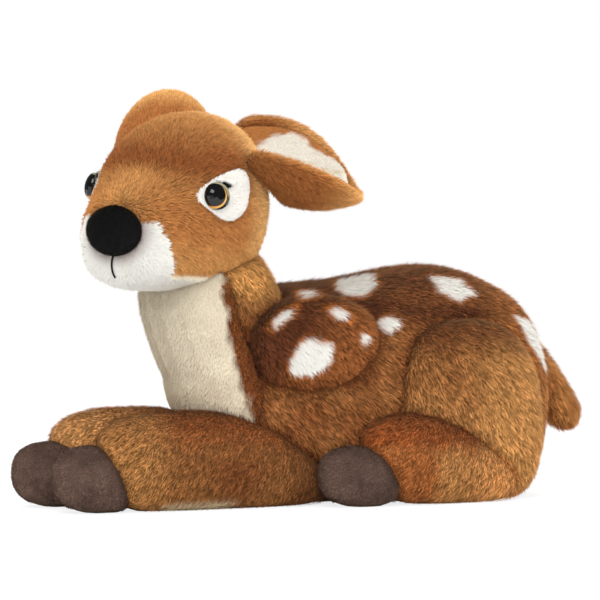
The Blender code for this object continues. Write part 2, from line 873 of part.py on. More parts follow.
def add_ear(side, word, shape, up, turns):
    """An ear and its lining, which swing together about the seam at the ear's root."""
    sweep, rise, twist = turns
    root = head_place @ Vector((EAR_BACK, side * EAR_SIDE, up))
    where = (
        Matrix.Translation(root)
        @ head_place.to_3x3().to_4x4()
        @ Matrix.Rotation(side * sweep, 4, "Z")
        @ Matrix.Rotation(-rise, 4, "Y")
        @ Matrix.Rotation(side * twist, 4, "X")
    )
    if side > 0:
        where = where @ Matrix.Rotation(math.pi, 4, "X")
    outwards = where.to_3x3() @ Vector((1, 0, 0))
    axis = (where.to_3x3() @ Vector((0, 0, side))).normalized()
    start = where @ Vector((EAR_LENGTH, -shape[0] / 2, 0))
    pivot, _ = surface_point(head_guide, start, -outwards)
    joint = joint_empty("ear_joint_" + word, pivot, parent=head_joint)

    convex_side = Vector((0, 1, 0))
    mesh = grid_mesh("ear_" + word, ear_rows(shape, EAR_SHARES, 0, 0), convex_side)
    ear = thickened(smoothed(new_object("ear_" + word, mesh, brown_plush, where)), EAR_THICKNESS, outwards=True)
    mesh = grid_mesh("ear_lining_" + word, ear_rows(shape, EAR_SHARES[:-1], EAR_LINING_INSET, EAR_LINING_GAP), convex_side)
    lining = smoothed(new_object("ear_lining_" + word, mesh, cream_plush, where))
    thickened(lining, FELT_THICKNESS, outwards=False)
    cut_clear((ear, lining), head_guide, pivot, axis, EAR_SWING)
    for piece in (ear, lining):
        carried(piece, joint)


def add_neck():
    mesh = form_mesh("neck", NECK_LENGTH, NECK_WIDTH, NECK_DEPTH, NECK_SHARES, BODY_SIDES, middle=0.5)
    where = Matrix.Translation(neck_foot) @ Matrix.Rotation(-math.pi / 2 - NECK_LEAN, 4, "Y")
    neck, clearance = form("neck", mesh, brown_plush, where)
    combined(neck, torso_clearance)
    combined(neck, head_clearance)
    return mesh, where, clearance


def add_foreleg(side, word):
    mesh = form_mesh(
        "foreleg",
        FORELEG_LENGTH,
        FORELEG_WIDTH,
        FORELEG_HEIGHT,
        FORELEG_SHARES,
        LIMB_SIDES,
        below=SETTLED_ROUNDNESS,
        lean=FORELEG_HEIGHT / 8,
    )
    where = mirrored(FORELEG_BACK - FORELEG_LENGTH, FORELEG_SIDE, -FLAT_DEPTH, side)
    foreleg, clearance = form("foreleg_" + word, mesh, rust_plush, where)
    combined(foreleg, torso_clearance)
    combined(foreleg, ground)
    return clearance


def add_fore_hoof(side, word, foreleg_clearance):
    mesh = form_mesh(
        "fore_hoof",
        FORE_HOOF_LENGTH,
        FORE_HOOF_WIDTH,
        FORE_HOOF_HEIGHT,
        HOOF_SHARES,
        LIMB_SIDES,
        below=SETTLED_ROUNDNESS,
    )
    where = mirrored(FORELEG_BACK - FORELEG_LENGTH - FORE_HOOF_PROUD, FORE_HOOF_SIDE, -HOOF_SINK, side)
    hoof, _ = form("fore_hoof_" + word, mesh, hoof_plush, where)
    combined(hoof, foreleg_clearance)
    combined(hoof, ground)


def add_haunch(side, word):
    mesh = form_mesh(
        "haunch", HAUNCH_LENGTH, HAUNCH_WIDTH, HAUNCH_HEIGHT, HAUNCH_SHARES, LIMB_SIDES, below=SETTLED_ROUNDNESS
    )
    where = mirrored(HAUNCH_FRONT, HAUNCH_SIDE, -FLAT_DEPTH, side)
    haunch, clearance = form("haunch_" + word, mesh, brown_plush, where)
    combined(haunch, torso_clearance)
    combined(haunch, ground)
    return clearance


def add_hind_leg(side, word, haunch_clearance):
    mesh = form_mesh(
        "hind_leg",
        HIND_LEG_LENGTH,
        HIND_LEG_WIDTH,
        HIND_LEG_HEIGHT,
        HIND_LEG_SHARES,
        LIMB_SIDES,
        below=SETTLED_ROUNDNESS,
        lean=HIND_LEG_HEIGHT / 8,
    )
    where = mirrored(HIND_LEG_FRONT, HIND_LEG_SIDE, -FLAT_DEPTH, side)
    hind_leg, clearance = form("hind_leg_" + word, mesh, rust_plush, where)
    for cutter in (torso_clearance, haunch_clearance, ground):
        combined(hind_leg, cutter)
    return clearance


def add_hind_hoof(side, word, neighbours):
    mesh = form_mesh(
        "hind_hoof",
        HIND_HOOF_LENGTH,
        HIND_HOOF_WIDTH,
        HIND_HOOF_HEIGHT,
        HOOF_SHARES,
        LIMB_SIDES,
        below=SETTLED_ROUNDNESS,
    )
    where = mirrored(HIND_LEG_FRONT - HIND_HOOF_PROUD, HIND_HOOF_SIDE, -HOOF_SINK, side)
    hoof, _ = form("hind_hoof_" + word, mesh, hoof_plush, where)
    for cutter in (torso_clearance, *neighbours, ground):
        combined(hoof, cutter)


def add_shoulder(side, word, haunch_clearance):
    mesh = form_mesh(
        "shoulder", SHOULDER_LENGTH, SHOULDER_WIDTH, SHOULDER_HEIGHT, SHOULDER_SHARES, LIMB_SIDES
    )
    where = mirrored(SHOULDER_BACK - SHOULDER_LENGTH, SHOULDER_SIDE, SHOULDER_LIFT, side)
    shoulder, clearance = form("shoulder_" + word, mesh, dark_plush, where)
    for cutter in (torso_clearance, neck_clearance, haunch_clearance):
        combined(shoulder, cutter)
    return clearance


def bib_rows():
    """Rows round the neck's axis, from the throat down to the breast."""
    rows = []
    for high, spread in BIB_SHARES:
        height = BIB_BOTTOM_Z + (BIB_TOP_Z - BIB_BOTTOM_Z) * high
        axis_x = NECK_FOOT_X - (height - NECK_FOOT_Z) * math.tan(NECK_LEAN)
        row = []
        for column in range(BIB_COLUMNS + 1):
            angle = BIB_SPREAD * spread * (1 - 2 * column / BIB_COLUMNS)
            across = BIB_BLANK_RADIUS * math.sin(angle)
            row.append((axis_x - BIB_BLANK_RADIUS * math.cos(angle), -across, height))
        rows.append(row)
    return rows


def add_bib():
    """The cream panel laid over the front of the neck and the chest."""
    guide = smoothed(new_object("body_guide", torso_mesh, where=torso_place))
    combined(guide, smoothed(new_object("neck_guide", neck_mesh, where=neck_place)), "UNION")
    mesh = grid_mesh("bib_panel", bib_rows(), Vector((-1, 0, 0)))
    bib = smoothed(new_object("bib_panel", mesh, cream_plush))
    laid_nearest(bib, guide, BIB_GAP)
    thickened(bib, PANEL_THICKNESS, outwards=True)
    for cutter in (head_clearance, *bib_cutters):
        combined(bib, cutter)
    return bib


def add_tail():
    """The tail swings up and down about its seam on the rump."""
    mesh = form_mesh("tail", TAIL_LENGTH, TAIL_WIDTH, TAIL_DEPTH, TAIL_SHARES, LIMB_SIDES, middle=0.5)
    where = Matrix.Translation((TORSO_LENGTH - CHEST_REACH - TAIL_ROOT_INSET, 0, TAIL_ROOT_Z)) @ Matrix.Rotation(TAIL_SLOPE, 4, "Y")
    tail = smoothed(new_object("tail", mesh, brown_plush, where))
    outwards = where.to_3x3() @ Vector((1, 0, 0))
    start = where.to_translation() + outwards * TAIL_LENGTH
    pivot, _ = surface_point(torso_guide, start, -outwards)
    joint = joint_empty("tail_joint", pivot)
    cut_clear((tail,), torso_guide, pivot, Vector((0, 1, 0)), TAIL_SWING)
    carried(tail, joint)


clear_scene()
parts = new_collection("plush_deer")
cutters = new_collection("cutters")

brown_plush = new_material("brown_plush", BROWN, 0.9)
dark_plush = new_material("dark_plush", DARK_BROWN, 0.9)
rust_plush = new_material("rust_plush", RUST, 0.9)
cream_plush = new_material("cream_plush", CREAM, 0.9)
white_plush = new_material("white_plush", WHITE, 0.9)
hoof_plush = new_material("hoof_plush", HOOF_BROWN, 0.95)
nose_felt = new_material("nose_felt", BLACK, 0.95)
black_felt = new_material("black_felt", BLACK, 0.9)
black_thread = new_material("black_thread", BLACK, 0.8)
eye_plastic = new_material("eye_plastic", BLACK, 0.08)
washer_plastic = new_material("washer_plastic", WASHER_WHITE, 0.4)
fibre_filling = new_material("fibre_filling", FILLING_WHITE, 1.0)

# What lies below the deer: the forms that rest on the plane are cut flat by it
reach = TORSO_LENGTH
ground = new_object("ground", box_mesh("ground", (-reach, -reach, -OVERRUN), (reach, reach, 0)))
belly_room = new_object("belly_room", box_mesh("belly_room", (-reach, -reach, -OVERRUN), (reach, reach, BELLY_TOP)))

# The head looks along its own -X, turned towards the deer's left
head_place = (
    Matrix.Translation((HEAD_X, HEAD_Y, HEAD_Z))
    @ Matrix.Rotation(HEAD_TURN, 4, "Z")
    @ Matrix.Rotation(HEAD_ROLL, 4, "X")
)
neck_foot = Vector((NECK_FOOT_X, 0, NECK_FOOT_Z))
neck_axis = Matrix.Rotation(-NECK_LEAN, 3, "Y") @ Vector((0, 0, 1))
neck_top = neck_foot + neck_axis * NECK_LENGTH
head_hole = new_object(
    "head_hole",
    rod_mesh("head_hole", HEAD_HOLE_RADIUS, -NECK_LENGTH / 2, 0),
    where=Matrix.Translation(neck_top) @ Matrix.Rotation(-NECK_LEAN, 4, "Y"),
)

torso_mesh, torso_place, torso_clearance = add_torso()
torso_guide = smoothed(new_object("torso_guide", torso_mesh, where=torso_place))
add_belly_panel()

head_joint = joint_empty("head_joint", neck_top)
head, head_filling, head_clearance, head_guide = add_head()
head_pieces = [head, head_filling, add_muzzle_panel(), add_nose_pad(), add_mouth_stitch()]
for side, word in ((-1, "left"), (1, "right")):
    eye, washer, hole, place, upright = add_eye(side, word)
    patch = add_eye_patch(word, hole, place, upright)
    lash = add_lash(word, place, upright)
    head_pieces += [eye, washer, patch, lash]
for piece in head_pieces:
    carried(piece, head_joint)
left_shape = (EAR_FOLD_LEFT, EAR_OPEN_LEFT, EAR_BOW_LEFT)
right_shape = (EAR_FOLD_RIGHT, EAR_OPEN_RIGHT, EAR_BOW_RIGHT)
add_ear(-1, "left", left_shape, EAR_UP_LEFT, (EAR_SWEEP_LEFT, EAR_RISE_LEFT, EAR_TWIST_LEFT))
add_ear(1, "right", right_shape, EAR_UP_RIGHT, (EAR_SWEEP_RIGHT, EAR_RISE_RIGHT, EAR_TWIST_RIGHT))

neck_mesh, neck_place, neck_clearance = add_neck()
bib_cutters = []
for side, word in ((-1, "left"), (1, "right")):
    foreleg_clearance = add_foreleg(side, word)
    add_fore_hoof(side, word, foreleg_clearance)
    haunch_clearance = add_haunch(side, word)
    hind_leg_clearance = add_hind_leg(side, word, haunch_clearance)
    add_hind_hoof(side, word, (foreleg_clearance, hind_leg_clearance, haunch_clearance))
    shoulder_clearance = add_shoulder(side, word, haunch_clearance)
    bib_cutters += [foreleg_clearance, shoulder_clearance]
add_bib()
add_tail()
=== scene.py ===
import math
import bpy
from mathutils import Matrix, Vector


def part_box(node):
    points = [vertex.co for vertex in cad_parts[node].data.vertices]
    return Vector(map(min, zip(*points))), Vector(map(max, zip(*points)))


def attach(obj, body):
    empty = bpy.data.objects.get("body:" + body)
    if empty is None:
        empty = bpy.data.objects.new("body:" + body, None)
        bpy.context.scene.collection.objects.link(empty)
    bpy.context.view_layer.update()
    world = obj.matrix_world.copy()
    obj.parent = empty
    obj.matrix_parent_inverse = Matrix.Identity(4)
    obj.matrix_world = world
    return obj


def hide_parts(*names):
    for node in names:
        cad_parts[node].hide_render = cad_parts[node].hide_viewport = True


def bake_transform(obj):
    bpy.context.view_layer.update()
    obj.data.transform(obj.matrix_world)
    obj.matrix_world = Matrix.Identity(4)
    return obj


bl_info = {
    "name": "Plush Deer",
    "version": (1, 0, 0),
    "blender": (4, 5, 0),
    "location": "View3D > Sidebar > Plush Deer",
    "description": "Dresses the lying plush fawn in pile, seams, eyes and stitching",
    "category": "Object",
}

from types import SimpleNamespace

import bmesh
import bpy
import numpy as np
from bpy.props import FloatProperty, FloatVectorProperty, PointerProperty
from mathutils import Matrix, Vector
from mathutils.bvhtree import BVHTree

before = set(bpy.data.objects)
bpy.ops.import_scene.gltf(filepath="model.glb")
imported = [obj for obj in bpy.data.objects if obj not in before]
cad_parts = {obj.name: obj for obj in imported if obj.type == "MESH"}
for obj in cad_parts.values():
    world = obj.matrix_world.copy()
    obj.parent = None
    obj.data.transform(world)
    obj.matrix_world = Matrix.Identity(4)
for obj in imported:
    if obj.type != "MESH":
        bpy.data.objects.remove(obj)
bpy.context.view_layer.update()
SIDES = ((-1, "left"), (1, "right"))

# Cloth: voxel sizes of the remeshed skins, and the slots whose cloth is pale
BODY_VOXEL, LIMB_VOXEL, HEAD_VOXEL = 0.0028, 0.0026, 0.0022
HOOF_VOXEL, EAR_VOXEL, NOSE_VOXEL = 0.0016, 0.0014, 0.0012
PALE_SLOTS = ("cream_plush", "white_plush")
# Vertices nearer than this are merged, each smoothing moves a vertex by this share, and edges over this
# angle stay sharp
MERGE_DISTANCE, EASE_FACTOR, SHARP_ANGLE = 0.00001, 0.5, 50
# The least height over the floor, and how far off the surface a look along its normal starts
FLOOR_GAP, LOOK_START = 0.0001, 0.0002
# Below this height no pile grows on cloth whose normal points down: it thins out between these two
FLOOR_HEIGHT, FACING_DOWN = 0.003, (-0.75, -0.9)
# Beside another piece, the share by which pile is shorter and the shares of red, green and blue that painted
# shade takes
CREASE_SHORTER, CREASE_SHADE = 0.45, np.array((0.85, 1.0, 1.0))

# Pile: one strand of unit size, the height of its points, and their places in a cell of the UV map
STRAND_POINTS = ((-0.5, 0, 0), (0.5, 0, 0), (-0.42, 0.09, 0.5), (0.42, 0.09, 0.5), (0, 0, 1))
STRAND_FACES = ((0, 2, 3, 1), (2, 4, 3))
STRAND_ALONG = (0, 0, 0.5, 0.5, 1)
STRAND_CELL = ((0.1, 0.1), (0.9, 0.1), (0.14, 0.5), (0.86, 0.5), (0.5, 0.9))
SQUARE_MM_TO_M = 1e6
# Noise scales: the tone and the lie of tufts, and the cloth's grain
TONE_SCALE, LIE_SCALE, GRAIN_SCALE = 330, 170.0, 900
SHEEN_TINT = (1.0, 0.72, 0.38, 1.0)

# Eyes: radii, and how far the rings and the pupil lie towards the nose and up from the middle of the dome
EYE_RADIUS, PUPIL_RADIUS, DOME_HEIGHT = 0.0080, 0.0064, 0.0062
IRIS_FORWARD, IRIS_UP = 0.0032, -0.0004
PUPIL_FORWARD, PUPIL_UP = 0.0037, 0.0005
PUPIL_BLACK = (0.003, 0.003, 0.003, 1)
# The iris ends at this share of the radius. Amber, black and olive rings follow. Low down the rim is black.
IRIS_SHARE = 0.76
EYE_RINGS = (
    (0.85, (0.75, 0.45, 0.10)),
    (0.87, (0.010, 0.008, 0.006)),
    (0.93, (0.012, 0.010, 0.008)),
    (0.95, (0.30, 0.28, 0.18)),
    (1.0, (0.24, 0.22, 0.13)),
)
RIM_SHARES = (0.86, 0.88)
RIM_LOW, RIM_HIGH = -0.0012, 0.0008
# The lash's wedge, from the middle of the eye: a point on its top edge, as back and up, the edge's slope and
# the angles between which it begins
WEDGE_BACK, WEDGE_UP, WEDGE_SLOPE, WEDGE_ANGLES = 0.0049, 0.0087, 0.45, (66, 60)
LASH_PILE = 0.0024
# Distances to the mouth's thread are measured for about this many points at once
POINTS_AT_ONCE = 2000

# Stage
CAMERA_PLACE, CAMERA_TURN, CAMERA_LENS, CAMERA_SENSOR = (-0.820, -1.427, 0.120), -30, 164.6, 36
LAMPS = (
    ("key_light", (-1.1, -1.5, 1.7), 1.3, 34),
    ("fill_light", (1.5, -1.3, 0.9), 1.4, 13),
    ("back_light", (0.5, 1.6, 1.8), 1.4, 20),
    ("front_light", (-0.82, -1.5, 0.35), 1.0, 8),
)
LAMP_AIM = (0.0, 0.0, 0.10)
FLOOR_CORNERS = ((-4, -4, 0), (4, -4, 0), (4, 4, 0), (-4, 4, 0))
FLOOR_COLOUR, FLOOR_GLOW, GLOW_SHARE = (0.86, 0.86, 0.86, 1), 1.12, 0.72
WORLD_LIGHT, WORLD_IN_GLOSS = 0.95, 0.15
WHITE = (1, 1, 1, 1)


# ---- the values that a user would change ----


def length(name, default, description):
    return FloatProperty(
        name=name, description=description, default=default, min=0, precision=5, unit="LENGTH"
    )


def colour(name, default, description):
    return FloatVectorProperty(
        name=name, description=description, default=default, size=3, min=0, max=1, subtype="COLOR"
    )


class DeerPile(bpy.types.PropertyGroup):
    """Lengths of the pile, its strand and how thickly it stands."""

    body: length("Body pile", 0.0050, "Strand length on the torso, shoulders, haunches and tail")
    leg: length("Leg pile", 0.0044, "Strand length on the legs")
    head: length("Head pile", 0.0040, "Strand length on the head")
    ear: length("Ear pile", 0.0038, "Strand length on the outside of the ears")
    lining: length("Lining pile", 0.0018, "Strand length on the pale ear linings")
    bib: length("Bib pile", 0.0032, "Strand length on the cream bib")
    muzzle: length("Muzzle pile", 0.0030, "Strand length on the white muzzle")
    patch: length("Eye patch pile", 0.0024, "Strand length on the white patches round the eyes")
    hoof: length("Hoof pile", 0.0013, "Strand length on the felted hooves")
    nose: length("Nose pile", 0.0011, "Strand length of the flock on the nose")
    strand: length("Strand width", 0.00046, "Width of a strand at its root")
    density: FloatProperty(
        name="Density", description="Strands to a square millimetre", default=1.9, min=0.05, max=4
    )
    lean: FloatProperty(
        name="Lean",
        description="How far the strands lie over, from upright",
        default=math.radians(62),
        max=math.radians(85),
        subtype="ANGLE",
    )


class DeerColours(bpy.types.PropertyGroup):
    """Colours of the cloth."""

    golden: colour("Golden brown", (0.560, 0.262, 0.082), "Pile of the head and the light flanks")
    brown: colour("Brown", (0.420, 0.150, 0.042), "Pile of the flanks and haunches")
    deep: colour("Deep brown", (0.240, 0.073, 0.021), "Shaded pile near the seams")
    saddle: colour("Saddle", (0.120, 0.037, 0.015), "Dark pile along the back and shoulders")
    rust: colour("Rust", (0.330, 0.088, 0.022), "Short pile on top of the legs")
    cream: colour("Cream", (0.830, 0.765, 0.600), "Bib, belly and linings")
    white: colour("White", (0.800, 0.785, 0.735), "Muzzle, eye patches and spots")
    hoof: colour("Hoof", (0.165, 0.102, 0.078), "Felted hooves")
    black: colour("Black", (0.012, 0.012, 0.013), "Nose, lashes and thread")
    iris: colour("Iris", (0.520, 0.230, 0.040), "Amber ring of the eyes")


def settings():
    """The values of the pile, and the colours as arrays."""
    scene = bpy.context.scene
    colours = {name: np.array(getattr(scene.deer_colours, name)) for name in DeerColours.__annotations__}
    return scene.deer_pile, SimpleNamespace(**colours)


# ---- numbers ----


def unit(vectors):
    return vectors / np.maximum(np.linalg.norm(vectors, axis=-1, keepdims=True), 1e-9)


def fade(low, high, values):
    """0 at low and 1 at high, with a smooth way between them. Low may be the larger one."""
    share = np.clip((values - low) / (high - low), 0, 1)
    return share * share * (3 - 2 * share)


def mixed(first, second, share):
    share = np.asarray(share)[..., None]
    return np.asarray(first) * (1 - share) + np.asarray(second) * share


def waves(points, size, seed=0.0):
    """Smooth variation between -1 and 1 whose waves are about that size."""
    p = points / size * 2.0 + seed
    return (
        np.sin(p[:, 0] * 1.7 + 1.3 * np.sin(p[:, 1] * 1.1 + seed))
        + np.sin(p[:, 1] * 2.1 + 1.2 * np.sin(p[:, 2] * 1.3))
        + np.sin(p[:, 2] * 1.9 + 1.4 * np.sin(p[:, 0] * 0.9 - seed))
    ) / 3


# ---- meshes ----


def read_vectors(items, key):
    values = np.empty(len(items) * 3, np.float32)
    items.foreach_get(key, values)
    return values.reshape(-1, 3).astype(float)


def read_points(mesh):
    return read_vectors(mesh.vertices, "co")


def node_points(node):
    return read_points(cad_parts[node].data)


def write_points(mesh, points):
    """Moves the points of a mesh, and keeps them over the floor."""
    points[:, 2] = np.maximum(points[:, 2], FLOOR_GAP)
    mesh.vertices.foreach_set("co", np.asarray(points, np.float32).ravel())
    mesh.update()


def write_attribute(mesh, name, kind, values):
    attribute = mesh.attributes.get(name) or mesh.attributes.new(name, kind, "POINT")
    key = {"FLOAT_COLOR": "color", "FLOAT_VECTOR": "vector"}.get(kind, "value")
    if kind == "FLOAT_COLOR":
        values = np.hstack([values, np.ones((len(values), 1))])
    attribute.data.foreach_set(key, np.asarray(values, np.float32).ravel())


def new_object(name, data):
    obj = bpy.data.objects.new(name, data)
    bpy.context.scene.collection.objects.link(obj)
    return obj


def object_of(name, shape):
    """Turns a bmesh into an object of the scene."""
    mesh = bpy.data.meshes.new(name)
    shape.to_mesh(mesh)
    shape.free()
    return new_object(name, mesh)


def final_mesh(obj):
    """Applies the modifiers of obj."""
    graph = bpy.context.evaluated_depsgraph_get()
    mesh = bpy.data.meshes.new_from_object(obj.evaluated_get(graph))
    old = obj.data
    obj.modifiers.clear()
    obj.data = mesh
    bpy.data.meshes.remove(old)
    mesh.name = obj.name
    return obj


def cad_copy(name, *nodes):
    """One merged mesh of these nodes' surfaces."""
    shape = bmesh.new()
    for node in nodes:
        shape.from_mesh(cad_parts[node].data)
    bmesh.ops.remove_doubles(shape, verts=shape.verts, dist=MERGE_DISTANCE)
    bmesh.ops.dissolve_degenerate(shape, edges=shape.edges, dist=MERGE_DISTANCE)
    obj = object_of(name, shape)
    obj.data.materials.clear()
    for layer in list(obj.data.uv_layers):
        obj.data.uv_layers.remove(layer)
    return obj


def largest_shell(mesh):
    """Drops all but the largest closed shell of a mesh."""
    shape = bmesh.new()
    shape.from_mesh(mesh)
    left = set(shape.verts)
    shells = []
    while left:
        found = {left.pop()}
        edge = set(found)
        while edge:
            edge = {e.other_vert(v) for v in edge for e in v.link_edges} - found
            found |= edge
        left -= found
        shells.append(found)
    shells.sort(key=len, reverse=True)
    for shell in shells[1:]:
        bmesh.ops.delete(shape, geom=list(shell), context="VERTS")
    shape.to_mesh(mesh)
    shape.free()


def stuffed(name, nodes, voxel, rounds=4, swell=0.0004):
    """A rounded closed form over one or more nodes, as cloth lies over filling."""
    obj = cad_copy(name, *nodes)
    remesh = obj.modifiers.new("Even", "REMESH")
    remesh.mode = "VOXEL"
    remesh.voxel_size = voxel
    remesh.use_smooth_shade = True
    final_mesh(obj)
    largest_shell(obj.data)
    ease = obj.modifiers.new("Ease", "SMOOTH")
    ease.factor = EASE_FACTOR
    ease.iterations = rounds
    final_mesh(obj)
    write_points(obj.data, read_points(obj.data) + read_vectors(obj.data.vertex_normals, "vector") * swell)
    obj.data.shade_smooth()
    return obj


def sheet_copy(name, node, levels=0):
    """A cloth piece of its node's own shape."""
    obj = cad_copy(name, node)
    if levels:
        finer = obj.modifiers.new("Finer", "SUBSURF")
        finer.subdivision_type = "SIMPLE"
        finer.levels = finer.render_levels = levels
        final_mesh(obj)
    obj.data.shade_smooth()
    obj.data.set_sharp_from_angle(angle=math.radians(SHARP_ANGLE))
    return obj


def node_tree(*names):
    """One search tree over these nodes."""
    points, faces = [], []
    for name in names:
        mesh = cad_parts[name].data
        mesh.calc_loop_triangles()
        start = len(points)
        points += [v.co for v in mesh.vertices]
        faces += [tuple(start + i for i in t.vertices) for t in mesh.loop_triangles]
    return BVHTree.FromPolygons(points, faces)


def beside(points, tree, reach):
    """1 where another piece touches the surface, falling to 0 at that distance from it."""
    near = np.zeros(len(points))
    for index, point in enumerate(points):
        found = tree.find_nearest(point, reach)
        if found[0] is not None:
            near[index] = 1 - found[3] / reach
    return near


def hidden(points, normals, tree, reach):
    """1 where another piece lies against the surface, else 0."""
    found = np.zeros(len(points))
    for index, (point, normal) in enumerate(zip(points, normals)):
        away = Vector(normal)
        if tree.ray_cast(Vector(point) + away * LOOK_START, away, reach)[0] is not None:
            found[index] = 1
    return found


# ---- nodes ----


def add_node(tree, kind, inputs=None, **values):
    """Adds a node. An input is a value, or the socket that feeds it."""
    node = tree.nodes.new(kind)
    for name, value in values.items():
        setattr(node, name, value)
    for key, value in (inputs or {}).items():
        if isinstance(value, bpy.types.NodeSocket):
            tree.links.new(value, node.inputs[key])
        else:
            node.inputs[key].default_value = value
    return node


def math_node(tree, operation, *terms):
    return add_node(tree, "ShaderNodeMath", dict(enumerate(terms)), operation=operation).outputs[0]


def product(tree, *terms):
    result = terms[0]
    for term in terms[1:]:
        result = math_node(tree, "MULTIPLY", result, term)
    return result


def vector_node(tree, operation, first, second=None, scale=None, result="Vector"):
    inputs = {0: first}
    if second is not None:
        inputs[1] = second
    if scale is not None:
        inputs["Scale"] = scale
    return add_node(tree, "ShaderNodeVectorMath", inputs, operation=operation).outputs[result]


def attribute_node(tree, name, output):
    return add_node(tree, "ShaderNodeAttribute", attribute_name=name).outputs[output]


def object_place(tree):
    return add_node(tree, "ShaderNodeTexCoord").outputs["Object"]


def span(tree, value, low, high, to_low, to_high):
    inputs = {"Value": value, "From Min": low, "From Max": high, "To Min": to_low, "To Max": to_high}
    return add_node(tree, "ShaderNodeMapRange", inputs).outputs["Result"]


def noise_node(tree, place, scale, detail=2.0, result="Fac"):
    inputs = {"Vector": place, "Scale": scale, "Detail": detail}
    return add_node(tree, "ShaderNodeTexNoise", inputs).outputs[result]


def colour_ramp(tree, factor, stops):
    """Colours that follow one another at these positions."""
    node = add_node(tree, "ShaderNodeValToRGB", {"Fac": factor})
    elements = node.color_ramp.elements
    for element, (position, shade) in zip(elements, (stops[0], stops[-1])):
        element.position = position
        element.color = (*shade, 1)
    for position, shade in stops[1:-1]:
        elements.new(position).color = (*shade, 1)
    return node.outputs["Color"]


# ---- materials ----


def new_material(name, roughness, sheen=0.0):
    material = bpy.data.materials.new(name)
    material.use_nodes = True
    surface = material.node_tree.nodes["Principled BSDF"]
    set_inputs(surface, {"Roughness": roughness, "Sheen Weight": sheen, "Sheen Roughness": 0.4})
    set_inputs(surface, {"Sheen Tint": SHEEN_TINT, "Specular IOR Level": 0.06})
    return material, material.node_tree, surface


def set_inputs(node, values):
    for key, value in values.items():
        node.inputs[key].default_value = value


def add_bump(tree, surface, grain, strength, depth):
    bump = add_node(tree, "ShaderNodeBump", {"Strength": strength, "Distance": depth, "Height": grain})
    tree.links.new(bump.outputs["Normal"], surface.inputs["Normal"])


def pale_share(tree, hue):
    """1 where a colour is pale, 0 where it is brown or black."""
    parts = add_node(tree, "ShaderNodeSeparateColor", {"Color": hue})
    return span(tree, parts.outputs["Blue"], 0.15, 0.45, 0, 1)


def shaded(tree, surface, factor, calm):
    """Shades the pile's colour by a factor, and by a calm value instead where the colour is pale."""
    hue = attribute_node(tree, "pile_colour", "Color")
    share = pale_share(tree, hue)
    kept = product(tree, factor, math_node(tree, "SUBTRACT", 1, share))
    factor = math_node(tree, "ADD", kept, product(tree, share, calm))
    tree.links.new(vector_node(tree, "SCALE", hue, scale=factor), surface.inputs["Base Color"])


def strand_material(name, streak, root_shade, tip=1.0, roughness=0.8, sheen=0.22):
    """Pile: shaded at the root, with tone that changes from strand to strand and from tuft to tuft."""
    material, tree, surface = new_material(name, roughness, sheen)
    along = attribute_node(tree, "along", "Fac")
    tone = span(tree, attribute_node(tree, "tone", "Fac"), 0, 1, 1 - streak, 1 + streak * 0.7)
    tuft = noise_node(tree, attribute_node(tree, "root", "Vector"), TONE_SCALE)
    tuft = span(tree, tuft, 0.3, 0.7, 1 - streak * 0.7, 1 + streak * 0.55)
    factor = product(tree, tone, span(tree, along, 0, 0.8, root_shade, tip), tuft)
    shaded(tree, surface, factor, span(tree, along, 0, 0.8, 0.9, 1.02))
    return material


def cloth_material(name, shade):
    """The backing under the pile, darker than its tips: painted shadow of the pile over it."""
    material, tree, surface = new_material(name, 0.95, 0.1)
    grain = noise_node(tree, object_place(tree), GRAIN_SCALE)
    shaded(tree, surface, span(tree, grain, 0.3, 0.7, shade * 0.8, shade * 1.15), 0.85)
    add_bump(tree, surface, grain, 0.4, 0.0006)
    return material


def plain_material(name, hue, scale, contrast, roughness):
    """An even colour with a fine grain, for thread and plastic."""
    material, tree, surface = new_material(name, roughness)
    grain = noise_node(tree, object_place(tree), scale, 3.0)
    hue = np.array(hue)
    stops = ((0.3, hue * (1 - contrast)), (0.7, np.minimum(hue * (1 + contrast), 1)))
    tree.links.new(colour_ramp(tree, grain, stops), surface.inputs["Base Color"])
    add_bump(tree, surface, grain, 0.5, 0.0003)
    return material


STRAND_LOOKS = {
    "brown": {"streak": 0.62, "root_shade": 0.35, "tip": 1.12},
    "soft": {"streak": 0.28, "root_shade": 0.6},
    "pale": {"streak": 0.10, "root_shade": 0.85, "sheen": 0.0},
    "felt": {"streak": 0.35, "root_shade": 0.6, "roughness": 0.9, "sheen": 0.0},
}
# How dark each cloth is under the pile: painted shadow of the pile over its backing
CLOTH_SHADES = {"brown": 0.45, "pale": 0.85}
materials = {}


def material_of(kind, part):
    """Makes each shared material of strands or cloth once."""
    name = kind + "_" + part
    if name not in materials:
        if part == "cloth":
            materials[name] = cloth_material(name, CLOTH_SHADES[kind])
        else:
            materials[name] = strand_material(name, **STRAND_LOOKS[kind])
    return materials[name]


# ---- pile ----


def strand_object():
    """One strand, 1 long and 1 wide: it leaves its root upright and bends over."""
    mesh = bpy.data.meshes.new("strand")
    mesh.from_pydata(STRAND_POINTS, [], STRAND_FACES)
    write_attribute(mesh, "along", "FLOAT", STRAND_ALONG)
    return bpy.data.objects.new("strand", mesh)


PILE_INPUTS = {
    "Surface": "Geometry",
    "Density": "Float",
    "Length": "Float",
    "Width": "Float",
    "Lean": "Float",
    "Tufts": "Float",
    "Stray": "Float",
    "Seed": "Int",
    "Strand": "Object",
    "Material": "Material",
}


def enabled(sockets, name):
    return [socket for socket in sockets if socket.name == name and socket.enabled][0]


